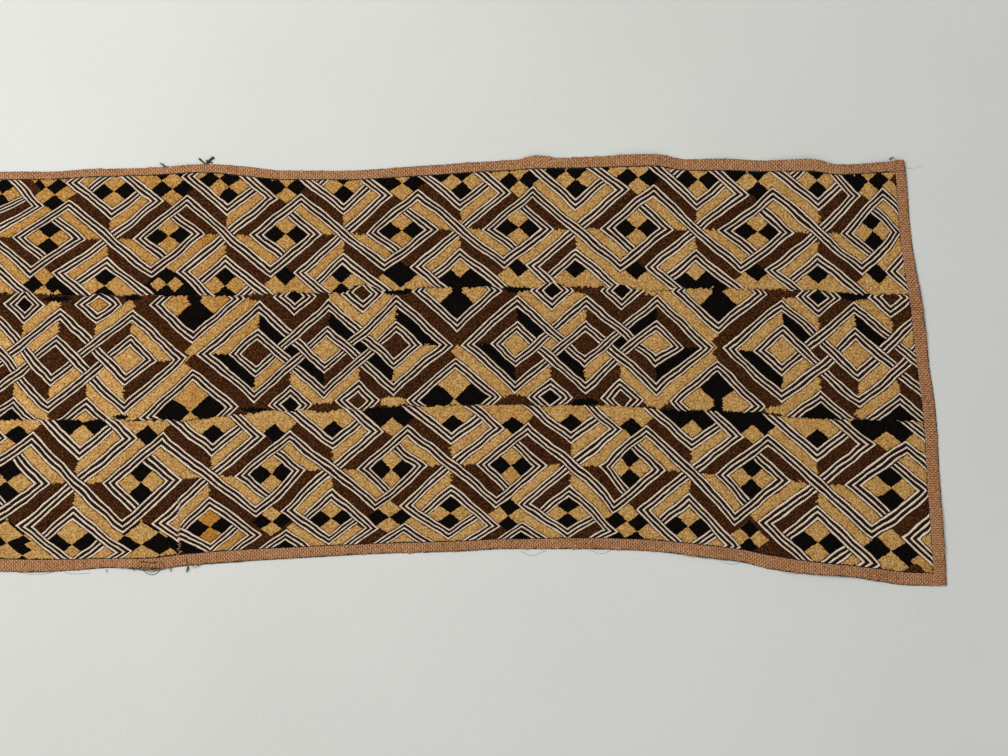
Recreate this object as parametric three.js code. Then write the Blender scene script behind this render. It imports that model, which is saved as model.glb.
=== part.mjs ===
// A long kuba raffia cloth, lying flat and face up.
//
// Three lengthwise panels of raffia cloth, each with a cut pile and embroidered face, are sewn
// edge to edge along two lengthwise seams. A narrow plain-woven strip binds all four sides. On
// each long side the binding is made of two lengths that meet at a joint, and the two end
// bindings run the full width, over the ends of the long ones.
//
// Millimetres. +X runs along the cloth, +Y across it towards the upper side, +Z up from the
// surface that it lies on. The tables below measure "along" from the left end of the cloth and
// "across" from the middle line of the middle panel. The finished group has its origin at the
// middle of the outline, on the surface.

import * as THREE from "three";

// ---------------------------------------------------------------- sizes
const GAP = 0.3; // between neighbouring pieces, where the sewing runs
const SET_BACK = 0.26; // a panel from its binding, besides, as their edges have corners at other places
const PANEL_THICK = 2.8; // ground cloth about 1 mm, with the cut pile on it
const BINDING_THICK = 2.0; // woven strip folded over the raw edge
const BINDING_FOLD_THICK = 1.3; // the same strip at its outer fold
const STATIONS = 70; // cross sections along the cloth
const END_STATIONS = 20; // cross sections up an end binding
const TOP_JOINT = 578; // along: where the two lengths of the upper binding meet
const BOTTOM_JOINT = 557; // along: where the two lengths of the lower binding meet

// ---------------------------------------------------------------- outline
// The upper long side. edge: its outer edge, across. width: of the binding there.
const TOP = [
  { along: -4, edge: 222.5, width: 11.5 },
  { along: 90, edge: 220.5, width: 10.5 },
  { along: 200, edge: 223.5, width: 10.0 },
  { along: 332, edge: 222.0, width: 9.1 },
  { along: 397, edge: 222.2, width: 8.4 },
  { along: 437, edge: 225.0, width: 8.7 },
  { along: 515, edge: 226.8, width: 8.4 },
  { along: 582, edge: 231.0, width: 9.4 },
  { along: 631, edge: 228.0, width: 11.0 },
  { along: 671, edge: 223.4, width: 10.2 },
  { along: 740, edge: 223.2, width: 10.3 },
  { along: 833, edge: 228.6, width: 11.2 },
  { along: 911, edge: 234.0, width: 11.4 },
  { along: 952, edge: 236.2, width: 11.6 },
  { along: 976, edge: 241.4, width: 15.2 },
  { along: 1002, edge: 238.4, width: 11.6 },
  { along: 1052, edge: 240.6, width: 12.8 },
  { along: 1118, edge: 242.8, width: 13.6 },
  { along: 1156, edge: 236.8, width: 12.6 },
  { along: 1198, edge: 237.6, width: 13.6 },
  { along: 1250, edge: 235.2, width: 12.4 },
  { along: 1303, edge: 236.9, width: 14.0 },
  { along: 1338, edge: 230.8, width: 11.6 },
  { along: 1398, edge: 233.6, width: 11.2 },
  { along: 1420, edge: 236.6, width: 12.6 },
];

// The lower long side, read in the same way.
const BOTTOM = [
  { along: -4, edge: -257.5, width: 13.5 },
  { along: 90, edge: -259.0, width: 13.0 },
  { along: 210, edge: -256.5, width: 14.0 },
  { along: 332, edge: -256.8, width: 14.4 },
  { along: 371, edge: -258.0, width: 14.6 },
  { along: 418, edge: -255.8, width: 12.8 },
  { along: 470, edge: -252.4, width: 10.4 },
  { along: 512, edge: -254.2, width: 12.6 },
  { along: 548, edge: -251.0, width: 13.6 },
  { along: 593, edge: -247.2, width: 13.6 },
  { along: 644, edge: -243.6, width: 13.2 },
  { along: 697, edge: -240.6, width: 12.6 },
  { along: 780, edge: -235.9, width: 11.6 },
  { along: 884, edge: -232.8, width: 11.6 },
  { along: 940, edge: -229.9, width: 11.2 },
  { along: 1014, edge: -229.9, width: 12.4 },
  { along: 1093, edge: -231.6, width: 13.0 },
  { along: 1136, edge: -234.6, width: 13.0 },
  { along: 1176, edge: -240.0, width: 14.6 },
  { along: 1224, edge: -246.2, width: 14.6 },
  { along: 1256, edge: -254.0, width: 15.8 },
  { along: 1307, edge: -260.4, width: 14.6 },
  { along: 1356, edge: -263.6, width: 12.8 },
  { along: 1388, edge: -269.2, width: 14.6 },
  { along: 1423, edge: -273.6, width: 14.8 },
  { along: 1472, edge: -274.4, width: 14.6 },
];

// The right end, from its lower corner up. edge: its outer edge, along. width: of the binding.
const RIGHT = [
  { across: -276, edge: 1468.4, width: 14.8 },
  { across: -227, edge: 1465.2, width: 15.0 },
  { across: -178, edge: 1461.6, width: 15.0 },
  { across: -136, edge: 1459.0, width: 14.6 },
  { across: -89, edge: 1456.6, width: 15.0 },
  { across: -47, edge: 1452.6, width: 15.0 },
  { across: -11, edge: 1447.0, width: 14.4 },
  { across: 24, edge: 1443.4, width: 14.8 },
  { across: 71, edge: 1437.2, width: 14.2 },
  { across: 108, edge: 1430.6, width: 13.4 },
  { across: 160, edge: 1423.6, width: 12.6 },
  { across: 202, edge: 1420.6, width: 12.4 },
  { across: 238, edge: 1415.8, width: 11.8 },
];

// The left end, read in the same way, with its inner edge on the other side.
const LEFT = [
  { across: -262, edge: 1.2, width: 13.0 },
  { across: -160, edge: -1.6, width: 13.6 },
  { across: -60, edge: 0.6, width: 12.8 },
  { across: 50, edge: -0.8, width: 13.4 },
  { across: 150, edge: 0.4, width: 12.6 },
  { across: 226, edge: 2.2, width: 12.2 },
];

// The two sewn seams between the panels, across at each place along.
const UPPER_SEAM = [
  { along: -4, across: 75.0 },
  { along: 332, across: 76.2 },
  { along: 430, across: 73.7 },
  { along: 577, across: 73.7 },
  { along: 680, across: 76.2 },
  { along: 793, across: 79.2 },
  { along: 860, across: 83.2 },
  { along: 1067, across: 83.4 },
  { along: 1118, across: 79.0 },
  { along: 1150, across: 82.4 },
  { along: 1262, across: 80.8 },
  { along: 1350, across: 76.2 },
  { along: 1440, across: 73.4 },
];
const LOWER_SEAM = [
  { along: -4, across: -75.6 },
  { along: 332, across: -75.0 },
  { along: 540, across: -75.6 },
  { along: 616, across: -69.6 },
  { along: 660, across: -64.6 },
  { along: 760, across: -61.2 },
  { along: 920, across: -57.6 },
  { along: 1053, across: -58.4 },
  { along: 1150, across: -63.4 },
  { along: 1242, across: -66.8 },
  { along: 1290, across: -72.6 },
  { along: 1374, across: -75.4 },
  { along: 1470, across: -78.0 },
];

// Where the edge of the cloth doesn't quite reach the surface. place: along on the long sides,
// across on the right end. lift: at the edge. half: half the length of the ripple. reach: how
// far in from the edge it fades out.
const RIPPLES = [
  { side: "top", place: 548, lift: 1.8, half: 52, reach: 46 },
  { side: "top", place: 985, lift: 2.4, half: 44, reach: 40 },
  { side: "top", place: 1104, lift: 3.6, half: 56, reach: 72 },
  { side: "top", place: 1204, lift: 2.0, half: 42, reach: 44 },
  { side: "top", place: 1296, lift: 4.4, half: 58, reach: 84 },
  { side: "top", place: 1404, lift: 3.0, half: 48, reach: 60 },
  { side: "bottom", place: 506, lift: 2.6, half: 48, reach: 40 },
  { side: "bottom", place: 1168, lift: 1.8, half: 60, reach: 50 },
  { side: "bottom", place: 1330, lift: 2.6, half: 74, reach: 66 },
  { side: "right", place: 60, lift: 1.6, half: 90, reach: 60 },
  { side: "right", place: -206, lift: 1.8, half: 70, reach: 56 },
];

// Shares of the way across each panel at which its sheet has a row of corners.
const UPPER_ROWS = [0, 0.3, 0.5, 0.66, 0.8, 0.91, 1];
const MIDDLE_ROWS = [0, 0.5, 1];
const LOWER_ROWS = [0, 0.07, 0.16, 0.27, 0.42, 1];
const BINDING_ROWS = [0, 0.3, 1];

// ---------------------------------------------------------------- smooth tables
// A smooth curve through one column of a table: cubic between rows, with slopes that never
// overshoot a row.
function curve(rows, at, column) {
  const x = rows.map((r) => r[at]);
  const y = rows.map((r) => r[column]);
  const last = rows.length - 1;
  const rise = x.slice(0, last).map((v, i) => (y[i + 1] - y[i]) / (x[i + 1] - v));
  const slope = y.map((v, i) => {
    if (i === 0) return rise[0];
    if (i === last) return rise[last - 1];
    const [a, b] = [rise[i - 1], rise[i]];
    return a * b <= 0 ? 0 : (2 * a * b) / (a + b);
  });
  return (at_) => {
    const q = Math.min(Math.max(at_, x[0]), x[last]);
    let i = 0;
    while (i < last - 1 && q > x[i + 1]) i += 1;
    const h = x[i + 1] - x[i];
    const t = (q - x[i]) / h;
    const u = 1 - t;
    return (
      y[i] * (1 + 2 * t) * u * u +
      y[i + 1] * (3 - 2 * t) * t * t +
      h * (slope[i] * t * u * u - slope[i + 1] * t * t * u)
    );
  };
}

const topEdge = curve(TOP, "along", "edge");
const topWidth = curve(TOP, "along", "width");
const bottomEdge = curve(BOTTOM, "along", "edge");
const bottomWidth = curve(BOTTOM, "along", "width");
const rightEdge = curve(RIGHT, "across", "edge");
const rightWidth = curve(RIGHT, "across", "width");
const leftEdge = curve(LEFT, "across", "edge");
const leftWidth = curve(LEFT, "across", "width");
const upperSeam = curve(UPPER_SEAM, "along", "across");
const lowerSeam = curve(LOWER_SEAM, "along", "across");

const topInner = (x) => topEdge(x) - topWidth(x);
const bottomInner = (x) => bottomEdge(x) + bottomWidth(x);
const rightInner = (y) => rightEdge(y) - rightWidth(y);
const leftInner = (y) => leftEdge(y) + leftWidth(y);

// ---------------------------------------------------------------- height above the surface
const EDGE_DISTANCE = {
  top: (x, y) => topEdge(x) - y,
  bottom: (x, y) => y - bottomEdge(x),
  right: (x, y) => rightEdge(y) - x,
};

function lift(x, y) {
  let z = 0;
  for (const r of RIPPLES) {
    const from = (r.side === "right" ? y : x) - r.place;
    const inward = Math.max(EDGE_DISTANCE[r.side](x, y), 0);
    if (Math.abs(from) < r.half && inward < r.reach) {
      const swell = (1 - (from / r.half) ** 2) ** 2;
      const fade = (1 - inward / r.reach) ** 2;
      z += r.lift * swell * fade;
    }
  }
  return z;
}

// ---------------------------------------------------------------- one sheet
// plan(s, t) gives a corner's place for s from 0 to 1 along the sheet and t across it, with t
// turning left of s. thick(t) is the sheet's thickness there.
function sheet(name, stations, rows, plan, thick, colour) {
  const points = [];
  const wide = rows.length;
  for (const face of [0, 1]) {
    for (let i = 0; i <= stations; i += 1) {
      for (const t of rows) {
        const [x, y] = plan(i / stations, t);
        points.push(x, y, lift(x, y) + face * thick(t));
      }
    }
  }
  const under = (i, j) => i * wide + j;
  const over = (i, j) => (stations + 1) * wide + i * wide + j;
  const triangles = [];
  const quad = (a, b, c, d) => triangles.push(a, b, c, a, c, d);
  for (let i = 0; i < stations; i += 1) {
    for (let j = 0; j < wide - 1; j += 1) {
      quad(over(i, j), over(i + 1, j), over(i + 1, j + 1), over(i, j + 1));
      quad(under(i, j), under(i, j + 1), under(i + 1, j + 1), under(i + 1, j));
    }
    quad(under(i, 0), under(i + 1, 0), over(i + 1, 0), over(i, 0));
    quad(over(i, wide - 1), over(i + 1, wide - 1), under(i + 1, wide - 1), under(i, wide - 1));
  }
  for (let j = 0; j < wide - 1; j += 1) {
    quad(under(0, j), over(0, j), over(0, j + 1), under(0, j + 1));
    quad(over(stations, j), under(stations, j), under(stations, j + 1), over(stations, j + 1));
  }
  const geometry = new THREE.BufferGeometry();
  geometry.setAttribute("position", new THREE.Float32BufferAttribute(points, 3));
  geometry.setIndex(triangles);
  geometry.computeVertexNormals();
  const material = new THREE.MeshStandardMaterial({ color: colour, roughness: 0.92, metalness: 0 });
  const mesh = new THREE.Mesh(geometry, material);
  mesh.name = name;
  return mesh;
}

// A sheet that runs along the cloth, between two lines across (low and high) and two lines
// along (start and end), half a gap inside each.
function lengthwise(name, stations, rows, { low, high, start, end }, thick, colour) {
  const g = GAP / 2;
  const plan = (s, t) => {
    let y = 0;
    let x = 0;
    for (let pass = 0; pass < 6; pass += 1) {
      x = start(y) + g + (end(y) - start(y) - 2 * g) * s;
      y = low(x) + g + (high(x) - low(x) - 2 * g) * t;
    }
    return [x, y];
  };
  return sheet(name, stations, rows, plan, thick, colour);
}

// A sheet that runs up an end of the cloth, from its lower corner to its upper one. inner and
// outer are its lines along; t goes towards the left.
function endwise(name, stations, rows, { inner, outer, fromOuter }, thick, colour) {
  const g = GAP / 2;
  const plan = (s, t) => {
    const across = fromOuter ? t : 1 - t;
    let x = outer(0);
    let y = 0;
    for (let pass = 0; pass < 6; pass += 1) {
      y = bottomEdge(x) + (topEdge(x) - bottomEdge(x)) * s;
      const inside = inner(y) + (fromOuter ? g : -g);
      x = outer(y) + (inside - outer(y)) * across;
    }
    return [x, y];
  };
  return sheet(name, stations, rows, plan, (t) => thick(fromOuter ? t : 1 - t), colour);
}

// ---------------------------------------------------------------- the pieces
const PANEL_COLOUR = { upper: 0x8c6434, middle: 0x80582e, lower: 0x926a38 };
const BINDING_COLOUR = 0xb07858;

const panelThick = () => PANEL_THICK;
const panelStart = (y) => leftInner(y) + SET_BACK;
const panelEnd = (y) => rightInner(y) - SET_BACK;
// share of the way from the outer fold to the inner edge
const foldThick = (t) => (t < 0.1 ? BINDING_FOLD_THICK : BINDING_THICK);

const pieces = [
  lengthwise(
    "panel_upper", STATIONS, UPPER_ROWS,
    { low: upperSeam, high: (x) => topInner(x) - SET_BACK, start: panelStart, end: panelEnd },
    panelThick, PANEL_COLOUR.upper,
  ),
  lengthwise(
    "panel_middle", STATIONS, MIDDLE_ROWS,
    { low: lowerSeam, high: upperSeam, start: panelStart, end: panelEnd },
    panelThick, PANEL_COLOUR.middle,
  ),
  lengthwise(
    "panel_lower", STATIONS, LOWER_ROWS,
    { low: (x) => bottomInner(x) + SET_BACK, high: lowerSeam, start: panelStart, end: panelEnd },
    panelThick, PANEL_COLOUR.lower,
  ),
];

// The long bindings, each in two lengths. The outer fold is at the free edge, with no gap there.
const g = GAP / 2;
for (const [side, joint] of [["top", TOP_JOINT], ["bottom", BOTTOM_JOINT]]) {
  const isTop = side === "top";
  const lines = isTop
    ? { low: topInner, high: (x) => topEdge(x) + g }
    : { low: (x) => bottomEdge(x) - g, high: bottomInner };
  const rows = isTop ? BINDING_ROWS.map((t) => 1 - t).reverse() : BINDING_ROWS;
  const thick = isTop ? (t) => foldThick(1 - t) : foldThick;
  const left = Math.round((STATIONS * joint) / 1450);
  pieces.push(
    lengthwise(
      `binding_${side}_left`, left, rows,
      { ...lines, start: leftInner, end: () => joint }, thick, BINDING_COLOUR,
    ),
    lengthwise(
      `binding_${side}_right`, STATIONS - left, rows,
      { ...lines, start: () => joint, end: rightInner }, thick, BINDING_COLOUR,
    ),
  );
}

pieces.push(
  endwise(
    "binding_right", END_STATIONS, BINDING_ROWS,
    { inner: rightInner, outer: rightEdge, fromOuter: true }, foldThick, BINDING_COLOUR,
  ),
  endwise(
    "binding_left", END_STATIONS, BINDING_ROWS.map((t) => 1 - t).reverse(),
    { inner: leftInner, outer: leftEdge, fromOuter: false }, foldThick, BINDING_COLOUR,
  ),
);

// ---------------------------------------------------------------- origin
// The middle of the outline, on the surface. Each sheet keeps its own height.
const box = new THREE.Box3();
for (const piece of pieces) box.union(new THREE.Box3().setFromObject(piece));
const middle = box.getCenter(new THREE.Vector3());
for (const piece of pieces) piece.geometry.translate(-middle.x, -middle.y, 0);

const cloth = new THREE.Group();
cloth.name = "kuba_raffia_cloth";
cloth.add(...pieces);

export default cloth;
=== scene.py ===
"""A long kuba raffia cloth, lying flat and face up.

Lengths in the tables are millimetres. "along" runs from the left end of the cloth, "across" from
the middle line of the middle panel, as in the CAD. The charts give places in picture units, 1.2
millimetres each, with the left end of the cloth at -277 and the middle line at 357 downwards.
"""

import math

import bpy
import numpy as np
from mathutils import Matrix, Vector


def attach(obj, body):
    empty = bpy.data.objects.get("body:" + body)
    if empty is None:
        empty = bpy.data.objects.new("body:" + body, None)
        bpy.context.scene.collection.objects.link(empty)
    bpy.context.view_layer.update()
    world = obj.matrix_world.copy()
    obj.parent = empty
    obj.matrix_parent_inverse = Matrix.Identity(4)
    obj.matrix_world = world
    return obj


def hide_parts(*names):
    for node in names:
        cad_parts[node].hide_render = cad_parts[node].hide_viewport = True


# ------------------------------------------------------------------ camera
MIDDLE_X = 733.3467
SCALE = 1.2  # millimetres in one picture unit
LEFT_END = 277.0
MIDDLE_ROW = 357.0

scene = bpy.context.scene
camera_data = bpy.data.cameras.new("camera")
camera_data.lens = 50.0
camera_data.sensor_width = 36.0
camera_data.clip_start = 0.01
camera_data.clip_end = 20.0
camera = bpy.data.objects.new("camera", camera_data)
scene.collection.objects.link(camera)
scene.camera = camera

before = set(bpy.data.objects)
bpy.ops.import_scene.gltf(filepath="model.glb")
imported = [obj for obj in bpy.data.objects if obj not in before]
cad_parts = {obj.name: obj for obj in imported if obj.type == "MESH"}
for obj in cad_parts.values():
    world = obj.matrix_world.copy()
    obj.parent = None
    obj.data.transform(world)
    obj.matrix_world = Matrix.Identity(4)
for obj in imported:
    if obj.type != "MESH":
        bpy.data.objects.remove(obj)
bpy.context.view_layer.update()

# ------------------------------------------------------------------ outline tables
TOP = np.array([
    [-4, 222.5, 11.5], [90, 220.5, 10.5], [200, 223.5, 10.0], [332, 222.0, 9.1],
    [397, 222.2, 8.4], [437, 225.0, 8.7], [515, 226.8, 8.4], [582, 231.0, 9.4],
    [631, 228.0, 11.0], [671, 223.4, 10.2], [740, 223.2, 10.3], [833, 228.6, 11.2],
    [911, 234.0, 11.4], [952, 236.2, 11.6], [976, 241.4, 15.2], [1002, 238.4, 11.6],
    [1052, 240.6, 12.8], [1118, 242.8, 13.6], [1156, 236.8, 12.6], [1198, 237.6, 13.6],
    [1250, 235.2, 12.4], [1303, 236.9, 14.0], [1338, 230.8, 11.6], [1398, 233.6, 11.2],
    [1420, 236.6, 12.6],
])  # along, outer edge, width of the binding
BOTTOM = np.array([
    [-4, -257.5, 13.5], [90, -259.0, 13.0], [210, -256.5, 14.0], [332, -256.8, 14.4],
    [371, -258.0, 14.6], [418, -255.8, 12.8], [470, -252.4, 10.4], [512, -254.2, 12.6],
    [548, -251.0, 13.6], [593, -247.2, 13.6], [644, -243.6, 13.2], [697, -240.6, 12.6],
    [780, -235.9, 11.6], [884, -232.8, 11.6], [940, -229.9, 11.2], [1014, -229.9, 12.4],
    [1093, -231.6, 13.0], [1136, -234.6, 13.0], [1176, -240.0, 14.6], [1224, -246.2, 14.6],
    [1256, -254.0, 15.8], [1307, -260.4, 14.6], [1356, -263.6, 12.8], [1388, -269.2, 14.6],
    [1423, -273.6, 14.8], [1472, -274.4, 14.6],
])
RIGHT = np.array([
    [-276, 1468.4, 14.8], [-227, 1465.2, 15.0], [-178, 1461.6, 15.0], [-136, 1459.0, 14.6],
    [-89, 1456.6, 15.0], [-47, 1452.6, 15.0], [-11, 1447.0, 14.4], [24, 1443.4, 14.8],
    [71, 1437.2, 14.2], [108, 1430.6, 13.4], [160, 1423.6, 12.6], [202, 1420.6, 12.4],
    [238, 1415.8, 11.8],
])  # across, outer edge, width
LEFT = np.array([
    [-262, 1.2, 13.0], [-160, -1.6, 13.6], [-60, 0.6, 12.8], [50, -0.8, 13.4],
    [150, 0.4, 12.6], [226, 2.2, 12.2],
])
UPPER_SEAM = np.array([
    [-4, 75.0], [332, 76.2], [430, 73.7], [577, 73.7], [680, 76.2], [793, 79.2], [860, 83.2],
    [1067, 83.4], [1118, 79.0], [1150, 82.4], [1262, 80.8], [1350, 76.2], [1440, 73.4],
])
LOWER_SEAM = np.array([
    [-4, -75.6], [332, -75.0], [540, -75.6], [616, -69.6], [660, -64.6], [760, -61.2],
    [920, -57.6], [1053, -58.4], [1150, -63.4], [1242, -66.8], [1290, -72.6], [1374, -75.4],
    [1470, -78.0],
])
RIPPLES = [  # side, place, lift, half its length, reach
    ("top", 548, 1.8, 52, 46), ("top", 985, 2.4, 44, 40), ("top", 1104, 3.6, 56, 72),
    ("top", 1204, 2.0, 42, 44), ("top", 1296, 4.4, 58, 84), ("top", 1404, 3.0, 48, 60),
    ("bottom", 506, 2.6, 48, 40), ("bottom", 1168, 1.8, 60, 50), ("bottom", 1330, 2.6, 74, 66),
    ("right", 60, 1.6, 90, 60), ("right", -206, 1.8, 70, 56),
]
TOP_JOINT = 578.0
BOTTOM_JOINT = 557.0
GAP = 0.3


def curve(x, y):
    """The smooth curve of the CAD through a table's column, for arrays."""
    x, y = np.asarray(x, float), np.asarray(y, float)
    rise = np.diff(y) / np.diff(x)
    slope = np.empty(len(y))
    slope[0], slope[-1] = rise[0], rise[-1]
    a, b = rise[:-1], rise[1:]
    total = np.where(np.abs(a + b) < 1e-12, 1.0, a + b)
    slope[1:-1] = np.where(a * b <= 0, 0.0, 2 * a * b / total)

    def at(q):
        q = np.clip(np.asarray(q, float), x[0], x[-1])
        i = np.clip(np.searchsorted(x, q, side="left") - 1, 0, len(x) - 2)
        h = x[i + 1] - x[i]
        t = (q - x[i]) / h
        u = 1 - t
        return (
            y[i] * (1 + 2 * t) * u * u
            + y[i + 1] * (3 - 2 * t) * t * t
            + h * (slope[i] * t * u * u - slope[i + 1] * t * t * u)
        )

    return at


top_edge, top_width = curve(TOP[:, 0], TOP[:, 1]), curve(TOP[:, 0], TOP[:, 2])
bottom_edge, bottom_width = curve(BOTTOM[:, 0], BOTTOM[:, 1]), curve(BOTTOM[:, 0], BOTTOM[:, 2])
right_edge, right_width = curve(RIGHT[:, 0], RIGHT[:, 1]), curve(RIGHT[:, 0], RIGHT[:, 2])
left_edge, left_width = curve(LEFT[:, 0], LEFT[:, 1]), curve(LEFT[:, 0], LEFT[:, 2])
upper_seam = curve(UPPER_SEAM[:, 0], UPPER_SEAM[:, 1])
lower_seam = curve(LOWER_SEAM[:, 0], LOWER_SEAM[:, 1])


def top_inner(x):
    return top_edge(x) - top_width(x)


def bottom_inner(x):
    return bottom_edge(x) + bottom_width(x)


def right_inner(y):
    return right_edge(y) - right_width(y)


def left_inner(y):
    return left_edge(y) + left_width(y)


MIDDLE_Y = float(bottom_edge(1468.283)) + 258.5353


def lift(x, y):
    z = np.zeros(np.broadcast(x, y).shape)
    inward = {
        "top": np.maximum(top_edge(x) - y, 0),
        "bottom": np.maximum(y - bottom_edge(x), 0),
        "right": np.maximum(right_edge(y) - x, 0),
    }
    for side, place, rise, half, reach in RIPPLES:
        away = (y if side == "right" else x) - place
        d = inward[side]
        on = (np.abs(away) < half) & (d < reach)
        z = z + np.where(on, rise * (1 - (away / half) ** 2) ** 2 * (1 - d / reach) ** 2, 0)
    return z


def place(x, y, z):
    """Table millimetres to metres in the row's frame."""
    return np.stack(
        [(x - MIDDLE_X) / 1000, (y - MIDDLE_Y) / 1000, np.broadcast_to(z, x.shape) / 1000], -1
    )


camera.location = (
    ((504 + LEFT_END) * SCALE - MIDDLE_X) / 1000,
    ((MIDDLE_ROW - 378) * SCALE - MIDDLE_Y) / 1000,
    1.680,
)

# ------------------------------------------------------------------ smooth random fields
def field(seed, waves, shortest, longest):
    """A smooth uneven field over two numbers, about -1 to 1."""
    r = np.random.default_rng(seed)
    length = r.uniform(shortest, longest, waves)
    turn = r.uniform(0, 2 * np.pi, waves)
    kx, ky = 2 * np.pi / length * np.cos(turn), 2 * np.pi / length * np.sin(turn)
    phase = r.uniform(0, 2 * np.pi, waves)
    size = math.sqrt(2.0 / waves)

    def at(a, b):
        total = np.zeros(np.broadcast(a, b).shape)
        for i in range(waves):
            total = total + np.sin(kx[i] * a + ky[i] * b + phase[i])
        return total * size

    return at


def ragged(seed, step, size):
    """An uneven sawtooth along one number, for the meeting of two piles."""
    r = np.random.default_rng(seed)
    values = r.uniform(-1, 1, 4096) * size

    def at(x):
        s = np.asarray(x, float) / step
        i = np.floor(s).astype(int)
        t = s - i
        return values[i % 4096] * (1 - t) + values[(i + 1) % 4096] * t

    return at


upper_teeth = ragged(31, 1.9, 1.7)
lower_teeth = ragged(32, 1.9, 1.7)
# Where the middle panel's stitches reach over the upper seam: place, reach, half width.
UPPER_REACH = [(364, 7.0, 17), (552, 5.0, 14), (621, 4.2, 14), (98, 1.6, 12), (25, 2.0, 12), (818, 1.6, 12),
               (456, 3.6, 7), (717, 4.0, 7), (293, 1.2, 12), (-62, 3.0, 13), (-130, 2.0, 12)]
LOWER_REACH = [(359, 2.6, 12), (324, 3.4, 15), (550, 1.4, 12), (187, 1.6, 12), (290, 1.2, 12), (84, 1.6, 10), (-66, 2.4, 12)]


def upper_rag(x):
    px = np.asarray(x, float) / SCALE - LEFT_END
    out = upper_teeth(x)
    for at, reach, half in UPPER_REACH:
        out = out + SCALE * reach * np.maximum(1 - (np.abs(px - at) / half) ** 1.6, 0)
    return out


def lower_rag(x):
    px = np.asarray(x, float) / SCALE - LEFT_END
    out = lower_teeth(x)
    for at, reach, half in LOWER_REACH:
        out = out - SCALE * reach * np.maximum(1 - (np.abs(px - at) / half) ** 1.6, 0)
    return out


# ------------------------------------------------------------------ warp from chart to cloth
class Warp:
    """From a chart's own regular coordinates to picture units, through measured places."""

    def __init__(self, controls, unit_x, unit_y):
        c = np.array(controls, float)
        self.ux, self.uy = unit_x, unit_y
        u = np.stack([c[:, 0] * unit_x, -c[:, 1] * unit_y], 1)
        self.u = u
        d = c[:, 2:4] - u
        n = len(u)
        k = self.kernel(u[:, None, :] - u[None, :, :]) + np.eye(n) * 60.0
        p = np.hstack([np.ones((n, 1)), u / 100])
        a = np.block([[k, p], [p.T, np.zeros((3, 3))]])
        self.w = np.linalg.solve(a, np.vstack([d, np.zeros((3, 2))]))

    @staticmethod
    def kernel(d):
        r2 = d[..., 0] ** 2 + d[..., 1] ** 2
        return 0.5 * r2 * np.log(r2 + 1e-9)

    def __call__(self, a, b):
        shape = np.broadcast(a, b).shape
        u = np.stack([np.broadcast_to(a * self.ux, shape).ravel(),
                      np.broadcast_to(-b * self.uy, shape).ravel()], 1)
        out = np.empty_like(u)
        for s in range(0, len(u), 20000):
            part = u[s:s + 20000]
            k = self.kernel(part[:, None, :] - self.u[None, :, :])
            p = np.hstack([np.ones((len(part), 1)), part / 100])
            out[s:s + 20000] = part + k @ self.w[:-3] + p @ self.w[-3:]
        return out[:, 0].reshape(shape), out[:, 1].reshape(shape)


# ------------------------------------------------------------------ the outer panels' chart
NONE, GOLD, BROWN, BLACK, BAND = 0, 1, 2, 3, 9
M, R = 39.0, 9.7  # a repeat, and the half width of a ring, in half line pitches
HALF_BAND = 2.8
B0, B1 = R + HALF_BAND, M / 2 - HALF_BAND
CORE = R - HALF_BAND
CHECK = 7.3

# Ring by ring: middle, left tip, right tip, apex, lowest point, upper corner, lower corner.
UPPER_RINGS = [
    (0, (49.8, 238.2), (22.4, 240.2), (79.8, 238.8), (68.8, 204.8), (30.8, 272.4), (38.4, 206.4), (59.2, 273.2)),
    (2, (169.2, 236.2), (139.2, 238.8), (198.8, 234.2), (186.8, 200.4), (151.8, 272.8), (157.2, 201.4), (182.8, 272.2)),
    (4, (286.4, 234.2), (256.4, 234.8), (315.8, 234.2), (300.8, 199.2), (271.2, 271.8), (272.4, 198.4), (300.2, 273.2)),
    (6, (401.2, 230.4), (372.8, 232.8), (432.8, 229.8), (418.2, 195.2), (385.2, 265.8), (386.4, 195.4), (416.4, 266.8)),
    (8, (517.8, 227.2), (488.4, 229.2), (547.8, 229.8), (532.4, 191.8), (503.8, 262.8), (505.2, 193.2), (532.4, 266.8)),
    (10, (636.2, 227.8), (607.2, 228.8), (666.8, 228.8), (653.2, 190.4), (620.8, 266.2), (622.4, 189.8), (650.8, 267.2)),
    (12, (757.8, 231.8), (724.8, 230.8), (787.8, 232.8), (773.2, 194.2), (741.8, 267.8), (741.8, 194.2), (771.8, 270.4)),
    (14, (872.4, 231.2), (846.4, 233.8), (896.4, 232.4), (882.8, 193.2), (861.8, 269.2), (854.4, 195.8), (891.8, 271.8)),
]
UPPER_VEES = [(-1, 0.0, 216.6), (1, 112.2, 214.8), (3, 227.8, 210.4), (5, 343.8, 209.2), (7, 460.6, 205.4),
              (9, 575.6, 204.8), (11, 696.8, 204.8), (13, 818.4, 205.2)]
UPPER_PEAKS = [(-1, -5.0, 263.4), (1, 107.2, 262.8), (3, 225.8, 261.4), (5, 342.8, 259.2), (7, 460.0, 254.2),
               (9, 575.4, 253.8), (11, 695.8, 255.8), (13, 817.8, 258.8)]

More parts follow.
